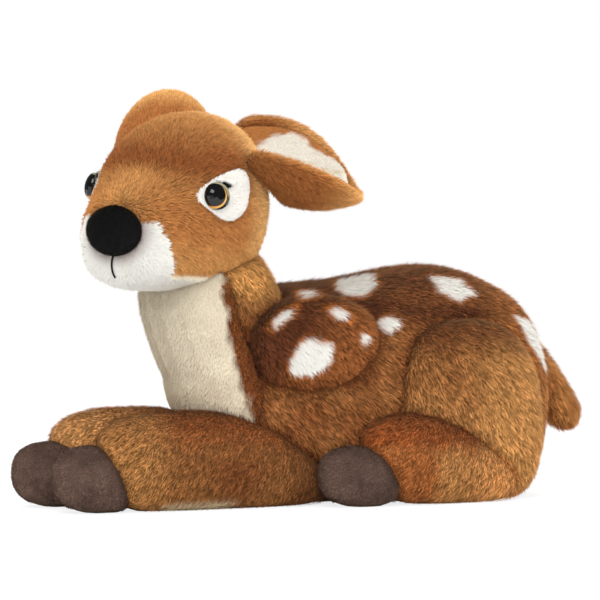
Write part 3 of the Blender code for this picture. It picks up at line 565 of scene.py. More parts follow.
def pile_tree():
    """Strands that stand on a surface. Its flow, cover and reach attributes say which way they lie, how
    thickly they stand and how long they are there."""
    tree = bpy.data.node_groups.new("pile", "GeometryNodeTree")
    keys = {}
    for name, kind in PILE_INPUTS.items():
        socket = tree.interface.new_socket(name, in_out="INPUT", socket_type="NodeSocket" + kind)
        keys[name] = socket.identifier
    tree.interface.new_socket("Pile", in_out="OUTPUT", socket_type="NodeSocketGeometry")
    given = add_node(tree, "NodeGroupInput").outputs

    def named(name, kind):
        inputs = {"Name": name}
        return add_node(tree, "GeometryNodeInputNamedAttribute", inputs, data_type=kind).outputs["Attribute"]

    def vector(operation, first, second=None, scale=None):
        return vector_node(tree, operation, first, second, scale)

    def random(kind, low, high, offset):
        node = add_node(tree, "FunctionNodeRandomValue", data_type=kind)
        enabled(node.inputs, "Min").default_value = low
        enabled(node.inputs, "Max").default_value = high
        tree.links.new(math_node(tree, "ADD", given["Seed"], offset), node.inputs["Seed"])
        return enabled(node.outputs, "Value")

    def stored(geometry, name, kind, value):
        inputs = {"Geometry": geometry, "Name": name}
        node = add_node(tree, "GeometryNodeStoreNamedAttribute", inputs, data_type=kind, domain="POINT")
        tree.links.new(value, enabled(node.inputs, "Value"))
        return node.outputs["Geometry"]

    thick = product(tree, given["Density"], named("cover", "FLOAT"))
    inputs = {"Mesh": given["Surface"], "Density": thick, "Seed": given["Seed"]}
    scatter = add_node(tree, "GeometryNodeDistributePointsOnFaces", inputs, distribute_method="RANDOM")
    scatter = scatter.outputs
    place = add_node(tree, "GeometryNodeInputPosition").outputs[0]
    points = stored(scatter["Points"], "root", "FLOAT_VECTOR", place)
    points = stored(points, "tone", "FLOAT", random("FLOAT", 0.0, 1.0, 3))
    points = stored(points, "out", "FLOAT_VECTOR", scatter["Normal"])
    out = named("out", "FLOAT_VECTOR")

    swirl = vector("SUBTRACT", noise_node(tree, place, LIE_SCALE, 1.0, "Color"), (0.5, 0.5, 0.5))
    stray = random("FLOAT_VECTOR", (-1, -1, -1), (1, 1, 1), 7)
    lying = vector("SCALE", named("flow", "FLOAT_VECTOR"), scale=math_node(tree, "SINE", given["Lean"]))
    rising = vector("SCALE", out, scale=math_node(tree, "COSINE", given["Lean"]))
    along = vector("ADD", lying, rising)
    along = vector("ADD", along, vector("SCALE", swirl, scale=given["Tufts"]))
    along = vector("NORMALIZE", vector("ADD", along, vector("SCALE", stray, scale=given["Stray"])))

    align = "FunctionNodeAlignRotationToVector"
    first = add_node(tree, align, {"Vector": along}, axis="Z").outputs[0]
    turned = add_node(tree, align, {"Rotation": first, "Vector": out}, axis="Y", pivot_axis="Z").outputs[0]
    tall = product(tree, given["Length"], named("reach", "FLOAT"), random("FLOAT", 0.65, 1.15, 11))
    wide = product(tree, given["Width"], random("FLOAT", 0.7, 1.3, 13))
    size = add_node(tree, "ShaderNodeCombineXYZ", {0: wide, 1: tall, 2: tall}).outputs[0]
    strand = add_node(tree, "GeometryNodeObjectInfo", {"Object": given["Strand"]}).outputs["Geometry"]
    inputs = {"Points": points, "Instance": strand, "Rotation": turned, "Scale": size}
    copies = add_node(tree, "GeometryNodeInstanceOnPoints", inputs).outputs[0]
    real = add_node(tree, "GeometryNodeRealizeInstances", {0: copies}).outputs[0]
    inputs = {"Geometry": real, "Material": given["Material"]}
    add_node(tree, "NodeGroupOutput", {0: add_node(tree, "GeometryNodeSetMaterial", inputs).outputs[0]})
    return tree, keys


def strand_map(mesh):
    """Gives each strand a cell of its own on the UV map, next to those of its neighbours."""
    corners_each = len(STRAND_POINTS)
    columns = max(int(math.ceil(math.sqrt(len(mesh.vertices) // corners_each))), 1)
    corners = np.empty(len(mesh.loops), np.int32)
    mesh.loops.foreach_get("vertex_index", corners)
    cell = corners // corners_each
    local = np.array(STRAND_CELL)[corners % corners_each]
    place = np.stack([cell % columns, cell // columns], 1)
    layer = mesh.uv_layers.new(name="OFBake")
    layer.data.foreach_set("uv", ((place + local) / columns).astype(np.float32).ravel())


shared = {}


def grow_pile(
    skin, name, long, kind, slot, body, density=1.0, wide=1.0, lean=None, tufts=0.45, stray=0.28, seed=1
):
    """Grows the pile of a skin as a piece of its own that rides on the body."""
    pile, _ = settings()
    if not shared:
        shared["tree"], shared["keys"] = pile_tree()
        shared["strand"] = strand_object()
    obj = new_object(name, skin.data.copy())
    grow = obj.modifiers.new("Pile", "NODES")
    grow.node_group = shared["tree"]
    thin, thick = ((1.0, 1.0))
    values = {
        "Density": pile.density * SQUARE_MM_TO_M * density * thin,
        "Length": long,
        "Width": pile.strand * wide * thick,
        "Lean": pile.lean if lean is None else lean,
        "Tufts": tufts,
        "Stray": stray,
        "Seed": seed,
        "Strand": shared["strand"],
        "Material": material_of(kind, "strands"),
    }
    for key, value in values.items():
        grow[shared["keys"][key]] = value
    final_mesh(obj)
    mesh = obj.data
    for attribute in ("cover", "flow", "reach", "out"):
        if attribute in mesh.attributes:
            mesh.attributes.remove(mesh.attributes[attribute])
    write_points(mesh, read_points(mesh))
    strand_map(mesh)
    if body:
        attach(obj, body)
    return obj


def dress(skin, hue, flow, own=(), reach=1, cover=1, depth=0.003, crease_shade=0.55, crease_width=0.0075):
    """Writes the colour, the lie, the length and the cover of the pile into a skin. Each is a value or a
    function of points and normals. Nodes that aren't the skin's own leave no pile within the depth, and make
    it shorter beside them, where painted shade makes it darker."""
    points, normals = read_points(skin.data), read_vectors(skin.data.vertex_normals, "vector")
    near, free = np.zeros(len(points)), np.ones(len(points))
    if own:
        tree = node_tree(*[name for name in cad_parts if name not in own])
        near = beside(points, tree, crease_width) ** 1.5
        free = 1 - hidden(points, normals, tree, depth)

    def given(value):
        return value(points, normals) if callable(value) else value

    hue = np.clip(np.broadcast_to(given(hue), points.shape), 0, 1)
    # Painted shade: the pile is darker beside other pieces, in the creases where shade falls
    hue = hue * (1 - (near * given(crease_shade))[:, None] * CREASE_SHADE)
    lie = np.broadcast_to(given(flow), points.shape)
    lie = unit(lie - normals * (lie * normals).sum(1, keepdims=True))
    free = free * (1 - fade(*FACING_DOWN, normals[:, 2]) * (points[:, 2] < FLOOR_HEIGHT)) * given(cover)
    write_attribute(skin.data, "pile_colour", "FLOAT_COLOR", hue)
    write_attribute(skin.data, "flow", "FLOAT_VECTOR", lie)
    write_attribute(skin.data, "cover", "FLOAT", free)
    write_attribute(skin.data, "reach", "FLOAT", given(reach) * (1 - CREASE_SHORTER * near))


def wear(skin, slot, body, nodes):
    """Gives a skin its cloth, its body and the nodes that it stands for."""
    skin.data.materials.clear()
    skin.data.materials.append(material_of("pale" if slot in PALE_SLOTS else "brown", "cloth"))
    if body:
        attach(skin, body)
    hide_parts(*nodes)


def clothe(skin, nodes, name, long, kind, slot, body, fill=0.8, **growth):
    """Grows the pile of a dressed skin and gives the skin its cloth. Returns the pile."""
    fur = grow_pile(skin, name, long, kind, slot, body, **growth)
    wear(skin, slot, body, nodes)
    return fur


# ---- where things are on the deer, and their colours; places are in metres ----

HEAD_MIDDLE, HEAD_TURN, HEAD_TILT = (-0.078, -0.002, 0.185), 29, 5
head_turn = Matrix.Rotation(math.radians(HEAD_TURN), 4, "Z")
head_turn = head_turn @ Matrix.Rotation(math.radians(HEAD_TILT), 4, "X")
head_place = Matrix.Translation(HEAD_MIDDLE) @ head_turn
to_head = np.array(head_place.inverted())
head_back = np.array(head_turn.to_3x3() @ Vector((1, 0, 0)))
head_up = np.array(head_turn.to_3x3() @ Vector((0, 0, 1)))
NOSE_IN_HEAD = (-0.058, 0, -0.026)
BODY_LIE = (0.62, 0.0, -0.78)


def in_head(points):
    """Points in the head's own frame: X towards its back, Y towards the deer's right, Z up."""
    return points @ to_head[:3, :3].T + to_head[:3, 3]


# The way to the right in the view that shows the deer's left side best. Spots are laid out across it and up.
VIEW_RIGHT = np.array((0.866, -0.5, 0))

# Round spots: middle, then half width and half height in the view, and their tilt
ROUND_SPOTS = (
    ((0.0315, -0.0186, 0.1292), 0.0128, 0.0078, 0.10),
    ((-0.0031, -0.0204, 0.1228), 0.0060, 0.0024, 0.0),
    ((-0.0370, -0.0523, 0.1102), 0.0084, 0.0026, 0.70),
    ((-0.0010, -0.0545, 0.1128), 0.0078, 0.0032, -0.35),
    ((0.0391, -0.0446, 0.1064), 0.0066, 0.0047, -0.10),
    ((0.0161, -0.0550, 0.0980), 0.0035, 0.0033, 0.0),
)
# Spots with corners, as (across, up) in the view
CORNERED_SPOTS = (
    (
        (-0.0024, 0.0793), (-0.0018, 0.0877), (0.0029, 0.0959), (0.0088, 0.0994), (0.0206, 0.0970),
        (0.0232, 0.0911), (0.0195, 0.0829), (0.0100, 0.0770), (0.0006, 0.0767),
    ),
    ((0.0808, 0.1345), (0.1010, 0.1322), (0.1098, 0.1242), (0.1000, 0.1190), (0.0885, 0.1235)),
    (
        (0.1333, 0.1113), (0.1432, 0.1101), (0.1526, 0.0964),
        (0.1557, 0.0852), (0.1551, 0.0753), (0.1476, 0.0877),
    ),
)
# From a spot's outline: where its pale colour fades, and where the rusty rim fades outside it
SPOT_EDGE, SPOT_RIM = (-0.0009, 0.0001), (0.0004, 0.0018)
# How far the lie of the pile carries a spot across and down
SPOT_DRIFT = (0.0016, 0.0002)
# Where the bib's pale colour ends, as heights and how far across in the view
BIB_EDGE = ((0.0502, 0.0914, 0.1304), (-0.0241, -0.0355, -0.0417))
# Where the left ear's brown edge ends and the pale lining begins, and the fold of painted shade, as across
# and up
LINING_EDGE = (
    (-0.0270, -0.0257, -0.0144, -0.0035, 0.0040, 0.0143, 0.0310, 0.0356),
    (0.1800, 0.2090, 0.2172, 0.2190, 0.2182, 0.2082, 0.1998, 0.1925),
)
LINING_FOLD = ((-0.0219, -0.0046, 0.0138, 0.0224), (0.2069, 0.2040, 0.2000, 0.1960))


def spot_distance(across, up):
    """How far each point lies outside the nearest spot, in the view. Inside a spot it is below 0."""
    across, up = across + SPOT_DRIFT[0], up + SPOT_DRIFT[1]
    gap = np.full(len(across), 1.0)
    for centre, wide, high, tilt in ROUND_SPOTS:
        right, rise = across - np.array(centre) @ VIEW_RIGHT, up - centre[2]
        turned = right * math.cos(tilt) + rise * math.sin(tilt)
        raised = rise * math.cos(tilt) - right * math.sin(tilt)
        gap = np.minimum(gap, (np.hypot(turned / wide, raised / high) - 1) * min(wide, high))
    for corners in CORNERED_SPOTS:
        corners = np.array(corners)
        middle = corners.mean(0)
        outside = np.full(len(across), -1.0)
        for start, end in zip(corners, np.roll(corners, -1, 0)):
            normal = unit(np.array((end[1] - start[1], start[0] - end[0])))
            normal = normal * np.sign((start - middle) @ normal)
            outside = np.maximum(outside, (across - start[0]) * normal[0] + (up - start[1]) * normal[1])
        gap = np.minimum(gap, outside)
    return gap


def spotted(points, normals, hue):
    """Lays the pale spots, with their rusty rims, over a colour. The far side has the same spots."""
    _, colours = settings()
    x, y, z = points.T
    side = np.where(y > 0, -1.0, 1.0)
    gap = spot_distance(x * VIEW_RIGHT[0] + y * side * VIEW_RIGHT[1], z)
    gap = gap + waves(points, 0.008, 2.0) * 0.0006 + waves(points, 0.0025, 5.0) * 0.0003
    gap = np.where((y * side < -0.006) & (normals[:, 1] * side < 0.35), gap, 1.0)
    toward = normals[:, 0] * VIEW_RIGHT[1] - normals[:, 1] * side * VIEW_RIGHT[0]
    gap = gap + 0.006 * fade(0.10, -0.04, toward)
    hue = mixed(hue, colours.brown * (1.0, 0.85, 0.6), 1 - fade(*SPOT_RIM, gap))
    return mixed(hue, colours.white * 0.93, 1 - fade(*SPOT_EDGE, gap))


def body_hue(points, normals):
    """Dark saddle along the back, mottled brown flanks, golden rump with painted rim light, pale spots."""
    _, colours = settings()
    x, _, z = points.T
    streaks = waves(points, 0.020, 1.0)
    edge = 0.111 - 0.012 * fade(0.045, 0.010, x) - 0.022 * fade(-0.02, -0.05, x) + 0.003 * streaks
    flank = mixed(colours.deep, colours.golden, 0.24 + 0.16 * streaks + 0.08 * waves(points, 0.009, 6.0))
    hue = mixed(flank, colours.saddle, fade(-0.012, 0.008, z - edge))
    # Painted light on the top of the back where it faces up
    crown = fade(0.12, 0.14, z) * fade(0.55, 0.9, normals[:, 2])
    band = fade(0.030, 0.055, x) * fade(0.112, 0.122, z) * fade(0.130, 0.124, z)
    for share in (0.25 * crown, 0.35 * band, 0.7 * fade(0.095, 0.135, x)):
        hue = mixed(hue, colours.brown, share)
    # Golden rump, partly painted rim light
    return spotted(points, normals, mixed(hue, colours.golden, 0.8 * fade(0.145, 0.172, x)))


def shoulder_hue(points, normals):
    """Dark at the front and top, browner low down at the back."""
    _, colours = settings()
    x, _, z = points.T
    low = fade(-0.045, 0.010, x + (0.095 - z) * 0.9 + 0.004 * waves(points, 0.015, 3.0))
    return spotted(points, normals, mixed(colours.saddle, mixed(colours.deep, colours.brown, 0.45), low))


# ---- operators ----


class DressStep(bpy.types.Operator):
    """A step that makes one group of pieces."""

    bl_idname = "deer.step"
    bl_label = "Deer step"
    bl_options = {"REGISTER", "UNDO"}

    def execute(self, context):
        self.make(*settings())
        return {"FINISHED"}


class DressTorso(DressStep):
    """Torso with its spotted, saddled pile, and the belly panel"""

    bl_idname = "deer.torso"
    bl_label = "Torso"

    def make(self, pile, colours):
        nodes = ("torso_skin", "torso_filling")
        torso = stuffed("torso", nodes, BODY_VOXEL)
        dress(torso, body_hue, BODY_LIE, (*nodes, "tail"), crease_shade=0.45)
        self.grow_sides(torso, pile.body)
        wear(torso, "brown_plush", "root", nodes)
        belly = sheet_copy("belly", "belly_panel")
        dress(belly, colours.cream, (1, 0, 0))
        wear(belly, "cream_plush", "root", ("belly_panel",))

    def grow_sides(self, torso, long):
        """Grows the torso's pile as one piece for each side, so that no piece is too heavy."""
        cover = np.empty(len(torso.data.vertices), np.float32)
        torso.data.attributes["cover"].data.foreach_get("value", cover)
        y = read_points(torso.data)[:, 1]
        for side, word in SIDES:
            write_attribute(torso.data, "cover", "FLOAT", cover * (y * side >= 0))
            name = "torso_pile_" + word
            grow_pile(torso, name, long, "brown", "brown_plush", "root", density=0.84, seed=3 + side)
        write_attribute(torso.data, "cover", "FLOAT", cover)


class DressNeck(DressStep):
    """Neck and the cream bib"""

    bl_idname = "deer.neck"
    bl_label = "Neck and bib"

    def make(self, pile, colours):
        def hue(points, normals):
            low = fade(0.145, 0.104, points[:, 2] + 0.004 * waves(points, 0.015))
            # High up golden, with painted light beyond golden where the neck's side lies in shade; low down
            # dark
            return mixed(colours.golden * (1.5, 1.6, 1.5), mixed(colours.deep, colours.saddle, 0.35), low)

        neck = stuffed("neck_cloth", ("neck",), BODY_VOXEL)
        dress(neck, hue, (0.25, 0, -1), ("neck",), depth=0.0022, crease_shade=0.35)
        long = pile.body * 0.85
        neck_fur = clothe(neck, ("neck",), "neck_pile", long, "brown", "brown_plush", None, seed=11)

        def seam(points, normals):
            return 1 - 0.55 * fade(0.0016, 0.0, np.abs(points[:, 1]))

        def bib_hue(points, normals):
            x, y, z = points.T
            shade = fade(0.10, 0.05, z) * 0.25
            pale = mixed(colours.cream * (1.06, 1.08, 1.06), colours.cream * (0.98, 0.92, 0.76), shade)
            across = x * VIEW_RIGHT[0] + np.abs(y) * -VIEW_RIGHT[1]
            edge = np.interp(z, *BIB_EDGE) + 0.0006 * waves(points, 0.006)
            brown = mixed(colours.deep, colours.golden, 0.05 + 0.5 * fade(0.115, 0.145, z))
            return mixed(pale, brown, fade(-0.0006, 0.0006, across - edge))

        bib = sheet_copy("bib", "bib_panel", 1)
        dress(bib, bib_hue, (0.1, 0, -1), ("bib_panel",), reach=seam, depth=0.0018)
        look = {"fill": 0.3, "seed": 13, "density": 1.2}
        bib_fur = clothe(bib, ("bib_panel",), "bib_pile", pile.bib, "brown", "cream_plush", None, **look)
        for piece in (neck, neck_fur, bib, bib_fur):
            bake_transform(piece)


class DressHead(DressStep):
    """Head, muzzle, nose, eye patches and lashes"""

    bl_idname = "deer.head"
    bl_label = "Head"

    def make(self, pile, colours):
        sewn = ("head_skin", "muzzle_panel", "head_filling")
        brown, white = split_head(stuffed("head", sewn, HEAD_VOXEL))
        own = (*sewn, "ear_left", "ear_right", "mouth_stitch", "neck", "bib_panel")

        def hue(points, normals):
            x, y, z = in_head(points).T
            high = z - 0.013 + 0.003 * waves(points, 0.012, 4.0)
            brow = np.exp(-((high / np.where(high > 0, 0.023, 0.014)) ** 2)) * fade(0.030, 0.000, x)
            crest = np.exp(-((y / 0.016) ** 2)) * fade(-0.024, -0.040, x) * fade(0.014, 0.004, z)
            cheek = fade(0.004, -0.012, z) * fade(0.022, -0.004, x) * (1 - fade(-0.022, -0.040, z))
            dark = mixed(colours.deep, colours.brown, 0.2)
            shade = mixed(colours.golden, dark, np.clip(brow * (1 - crest), 0, 1))
            shade = mixed(shade, colours.brown, 0.75 * cheek * (1 - crest))
            # Painted rim light: lighter than golden towards the back of the cheek, over the fur's golden
            # colour
            rear = 0.8 * fade(-0.008, 0.020, x) * fade(-0.040, -0.026, z)
            shade = mixed(shade, colours.golden * (1.45, 1.75, 2.1), rear)
            return mixed(shade, colours.cream, fade(-0.0465, -0.0485, z))

        def lie(points, normals):
            down = fade(0.02, -0.03, in_head(points)[:, 2])[:, None]
            return head_back - down * head_up * 0.7

        dress(brown, hue, lie, own, depth=0.0024, crease_shade=0.3, crease_width=0.005)
        nodes, look = ("head_skin", "head_filling"), {"density": 1.2, "seed": 21}
        clothe(brown, nodes, "head_pile", pile.head, "soft", "brown_plush", "head", **look)

        thread = node_points("mouth_stitch")
        nose = np.array(head_place @ Vector(NOSE_IN_HEAD))

        def off_thread(points):
            """How far each point lies from the mouth's thread."""
            parts = np.array_split(points, max(len(points) // POINTS_AT_ONCE, 1))
            return np.concatenate([np.linalg.norm(p[:, None] - thread[None], axis=2).min(1) for p in parts])

        def muzzle_hue(points, normals):
            # Creamier and darker towards the back: partly the muzzle's own cream, partly painted shade on its
            # side
            rear = fade(-0.045, -0.010, in_head(points)[:, 0])
            return mixed(colours.white * 0.92, colours.cream * 0.80, rear)

        dress(
            white,
            muzzle_hue,
            lambda points, normals: points - nose,
            own,
            reach=lambda points, normals: 0.35 + 0.65 * fade(0.0012, 0.0045, off_thread(points)),
            cover=lambda points, normals: fade(0.0008, 0.0014, off_thread(points)),
            depth=0.0024,
        )
        nodes, look = ("muzzle_panel",), {"density": 1.4, "seed": 23}
        clothe(white, nodes, "muzzle_pile", pile.muzzle, "pale", "white_plush", "head", **look)

        nodes, look = ("nose_pad",), {"density": 2.6, "wide": 0.6, "lean": 0.6, "seed": 25}
        pad = stuffed("nose", nodes, NOSE_VOXEL, rounds=6, swell=0.0003)
        dress(pad, colours.black, (0, 0, -1), nodes, depth=0.001)
        clothe(pad, nodes, "nose_pile", pile.nose, "felt", "nose_felt", "head", **look)

        for side, word in SIDES:
            centre = np.array(sum(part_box("eye_" + word), Vector()) / 2)
            self.patch(side, word, centre, pile, colours)
            self.lash(side, word, centre, colours)

    def patch(self, side, word, centre, pile, colours):
        node = "eye_patch_" + word
        eye = node_tree("eye_" + word)
        patch = sheet_copy("patch_" + word, node, 1)
        dress(
            patch,
            colours.white,
            lambda points, normals: unit(points - centre) + head_back * 1.2,
            (node,),
            reach=lambda points, normals: 1 - 0.75 * beside(points, eye, 0.0035),
            depth=0.0015,
            crease_shade=0.15,
        )
        look = {"fill": 0.2, "density": 1.5, "lean": 1.0, "seed": 27 + side}
        clothe(patch, (node,), "patch_pile_" + word, pile.patch, "pale", "white_plush", "head", **look)

    def lash(self, side, word, centre, colours):
        node = "lash_" + word
        out = eye_axis(word)
        across, rise = (unit(way - out * (way @ out)) for way in (head_back, head_up))

        def wedge(points, normals):
            """Black in a small wedge beside the eye's upper rear, white in the rest of the felt."""
            back, high = (points - centre) @ across, (points - centre) @ rise
            edge = WEDGE_UP - WEDGE_SLOPE * (back - WEDGE_BACK)
            rear = fade(*WEDGE_ANGLES, np.degrees(np.arctan2(high, back)))
            return mixed(colours.white, colours.black, fade(0.0005, -0.0003, high - edge) * rear)

        lash = sheet_copy("lash_felt_" + word, node, 2)
        dress(lash, wedge, head_back, (node,), depth=0.0006, crease_shade=0.06)
        look = {"fill": 0.2, "density": 3.0, "wide": 0.6, "seed": 31 + side}
        clothe(lash, (node,), "lash_pile_" + word, LASH_PILE, "felt", "black_felt", "head", **look)


def split_head(whole):
    """Cuts the whole head's cloth along the muzzle's seam."""
    trees = {node: node_tree(node) for node in ("head_skin", "muzzle_panel")}
    pieces = []
    for keep, other, name in (
        ("head_skin", "muzzle_panel", "head_cloth"),
        ("muzzle_panel", "head_skin", "muzzle_cloth"),
    ):
        shape = bmesh.new()
        shape.from_mesh(whole.data)
        gone = []
        for face in shape.faces:
            centre = face.calc_center_median()
            if trees[keep].find_nearest(centre)[3] > trees[other].find_nearest(centre)[3]:
                gone.append(face)
        bmesh.ops.delete(shape, geom=gone, context="FACES")
        pieces.append(object_of(name, shape))
        pieces[-1].data.shade_smooth()
    bpy.data.objects.remove(whole)
    return pieces


class DressEars(DressStep):
    """Cupped ears with their pale linings"""

    bl_idname = "deer.ears"
    bl_label = "Ears"

    def make(self, pile, colours):
        for side, word in SIDES:
            node, inner, body = "ear_" + word, "ear_lining_" + word, "ear_" + word
            low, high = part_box(node)
            y, z = (low.y + high.y) / 2, (low.z + high.z) / 2
            root, tip = np.array((low.x, y, z)), np.array((high.x, y, z))
            if side > 0:
                root = np.array((low.x * 0.7 + high.x * 0.3, low.y, low.z))
                tip = np.array((low.x * 0.2 + high.x * 0.8, high.y, high.z))

            def hue(points, normals, root=root, tip=tip, side=side):
                share = np.clip((points - root) @ (tip - root) / ((tip - root) @ (tip - root)), 0, 1)
                # Painted light: the tips are lighter than golden, the near ear's most; the golden tip is
                # partly the ear's own colour
                light = (1.9, 2.2, 2.4) if side < 0 else (1.4, 1.6, 1.7)
                hue = mixed(colours.brown, colours.golden * light, 0.9 * fade(0.40, 0.88, share))
                # Painted light on the near ear where it faces up
                if side < 0:
                    hue = mixed(hue, colours.golden * 1.25, 0.7 * fade(0.1, 0.6, normals[:, 2]))
                # Painted shade at the ear's root
                return mixed(hue, colours.deep, 0.2 * fade(0.45, 0.0, share))

            def lining_hue(points, normals, side=side):
                pale = mixed(colours.cream, colours.white, 0.6)
                if side > 0:
                    return np.broadcast_to(pale, points.shape)
                across, z = points @ VIEW_RIGHT, points[:, 2]
                edge = np.interp(across, *LINING_EDGE) + 0.0005 * waves(points, 0.004)
                # Painted shade in a line along the lining's fold
                fold = np.abs(z - np.interp(across, *LINING_FOLD))
                pale = mixed(pale, colours.cream * (0.80, 0.74, 0.60), 0.7 * fade(0.0016, 0.0, fold))
                brown = mixed(colours.brown, colours.golden, 0.35)
                return mixed(pale, brown, fade(-0.0004, 0.0006, z - edge))

            ear = stuffed("ear_cloth_" + word, (node,), EAR_VOXEL, rounds=3, swell=0.0003)
            dress(ear, hue, tip - root, (node, "head_skin"), depth=0.0022)
            look = {"density": 1.2, "seed": 41 + side}
            clothe(ear, (node,), "ear_pile_" + word, pile.ear, "soft", "brown_plush", body, **look)
            lining = sheet_copy("lining_" + word, inner, 1)
            dress(lining, lining_hue, tip - root, (inner, "head_skin"), depth=0.0022, crease_shade=0.25)
            name, look = "lining_pile_" + word, {"fill": 0.2, "density": 1.4, "seed": 45 + side}
            clothe(lining, (inner,), name, pile.lining, "pale", "cream_plush", body, **look)


class DressLegs(DressStep):
    """Shoulders, forelegs, haunches, hind legs and hooves"""

    bl_idname = "deer.legs"
    bl_label = "Legs"

    def make(self, pile, colours):
        def foreleg_hue(points, normals):
            x, y, z = points.T
            top = fade(0.1, 0.7, normals[:, 2]) * fade(-0.010, -0.045, x)
            hue = mixed(colours.deep, colours.golden, 0.30 + 0.25 * waves(points, 0.025))
            hue = mixed(hue, colours.rust * 1.1, 0.9 * top)
            hue = mixed(hue, colours.golden, 0.75 * fade(-0.095, -0.125, x))
            # Golden on the far foreleg, made lighter than golden with painted light
            far = fade(0.0, 0.02, y) * fade(-0.06, -0.09, x)
            hue = mixed(hue, colours.golden * (1.5, 1.6, 1.8), 0.8 * far)
            under = fade(0.0080, 0.0050, z) * fade(-0.060, -0.075, x) * fade(-0.115, -0.105, x)
            return mixed(hue, colours.cream * (0.85, 0.75, 0.6), 0.8 * under)

        def haunch_hue(points, normals):
            x, _, z = points.T
            # Golden towards the back, partly painted rim light, and golden low down
            share = 0.36 + 0.70 * fade(0.060, 0.125, x) + 0.40 * fade(0.08, 0.04, z)
            share = share + 0.16 * waves(points, 0.022) + 0.08 * waves(points, 0.009, 6.0)
            hue = mixed(colours.deep, colours.golden, np.clip(share, 0, 1.15))
            dark = fade(0.083, 0.101, z + 0.003 * waves(points, 0.012))
            hue = mixed(hue, mixed(colours.saddle, colours.deep, 0.6), 0.85 * dark)
            return spotted(points, normals, hue)

        def hind_hue(points, normals):
            x, _, z = points.T
            top = fade(0.026, 0.038, z + 0.003 * waves(points, 0.012)) * fade(0.110, 0.080, x)
            top = np.maximum(top, 0.75 * fade(0.058, 0.045, x))
            hue = mixed(colours.brown, colours.golden * 1.15, 0.9 + 0.2 * waves(points, 0.022))
            # Golden towards the back, with painted light beyond golden where the leg faces down
            hue = mixed(hue, colours.golden * 1.75, 0.85 * fade(0.070, 0.100, x))
            return mixed(hue, colours.rust * 1.15, top)

        def hoof_hue(points, normals):
            grain = 1.08 + 0.20 * waves(points, 0.012) + 0.12 * waves(points, 0.005, 3.0)
            return colours.hoof * grain[:, None]

        # Kind, colour, lie, pile, seed, slot and hoof
        limbs = (
            ("shoulder", shoulder_hue, BODY_LIE, pile.body * 0.9, 61, "dark_plush", None),
            ("foreleg", foreleg_hue, (-0.6, 0, -0.6), pile.leg, 65, "rust_plush", "fore_hoof"),
            ("haunch", haunch_hue, (0.35, 0, -0.93), pile.body, 69, "brown_plush", None),
            ("hind_leg", hind_hue, (-0.5, 0, -0.5), pile.leg, 73, "rust_plush", "hind_hoof"),
        )
        for side, word in SIDES:
            for kind, hue, lie, long, seed, slot, foot in limbs:
                self.limb(kind + "_" + word, hue, lie, long, seed + side, slot, foot and foot + "_" + word)
            for kind, seed in (("fore_hoof", 77), ("hind_hoof", 81)):
                self.hoof(kind + "_" + word, hoof_hue, pile.hoof, seed + side)

    def limb(self, node, hue, lie, long, seed, slot, foot):
        """A leg, shoulder or haunch. Its pile is short beside its hoof."""
        hoof = node_tree(foot) if foot else None

        def trimmed(points, normals):
            return 1 - 0.65 * beside(points, hoof, 0.009)

        # How strong the painted crease shade is beside other pieces, weaker towards the back
        def crease_shade(points, normals):
            return (0.3 if foot else 0.55) * (1 - 0.85 * fade(0.080, 0.110, points[:, 0]))

        skin = stuffed(node + "_cloth", (node,), LIMB_VOXEL)
        dress(skin, hue, lie, (node,), reach=trimmed if foot else 1, crease_shade=crease_shade)
        clothe(skin, (node,), node + "_pile", long, "brown", slot, "root", seed=seed)

    def hoof(self, node, hue, long, seed):
        skin = stuffed(node + "_cloth", (node,), HOOF_VOXEL, rounds=5)
        dress(skin, hue, (-0.6, 0, -0.6), (node,), depth=0.002)
        look = {"density": 1.8, "wide": 0.7, "lean": 0.8, "stray": 0.6, "seed": seed}
        clothe(skin, (node,), node + "_pile", long, "felt", "hoof_plush", "root", **look)


class DressTail(DressStep):
    """Tail"""

    bl_idname = "deer.tail"
    bl_label = "Tail"

    def make(self, pile, colours):
        def hue(points, normals):
            return mixed(colours.brown, colours.golden, 0.35 + 0.3 * waves(points, 0.012))

        tail = stuffed("tail_cloth", ("tail",), HEAD_VOXEL)
        dress(tail, hue, (0.55, 0, -0.83), ("tail", "torso_skin", "torso_filling"))
        look = {"tufts": 0.7, "seed": 91}
        clothe(tail, ("tail",), "tail_pile", pile.body * 1.25, "brown", "brown_plush", "tail", **look)


def eye_axis(word):
    """The way an eye looks, from its washer towards its dome."""
    return unit(node_points("eye_" + word).mean(0) - node_points("eye_washer_" + word).mean(0))


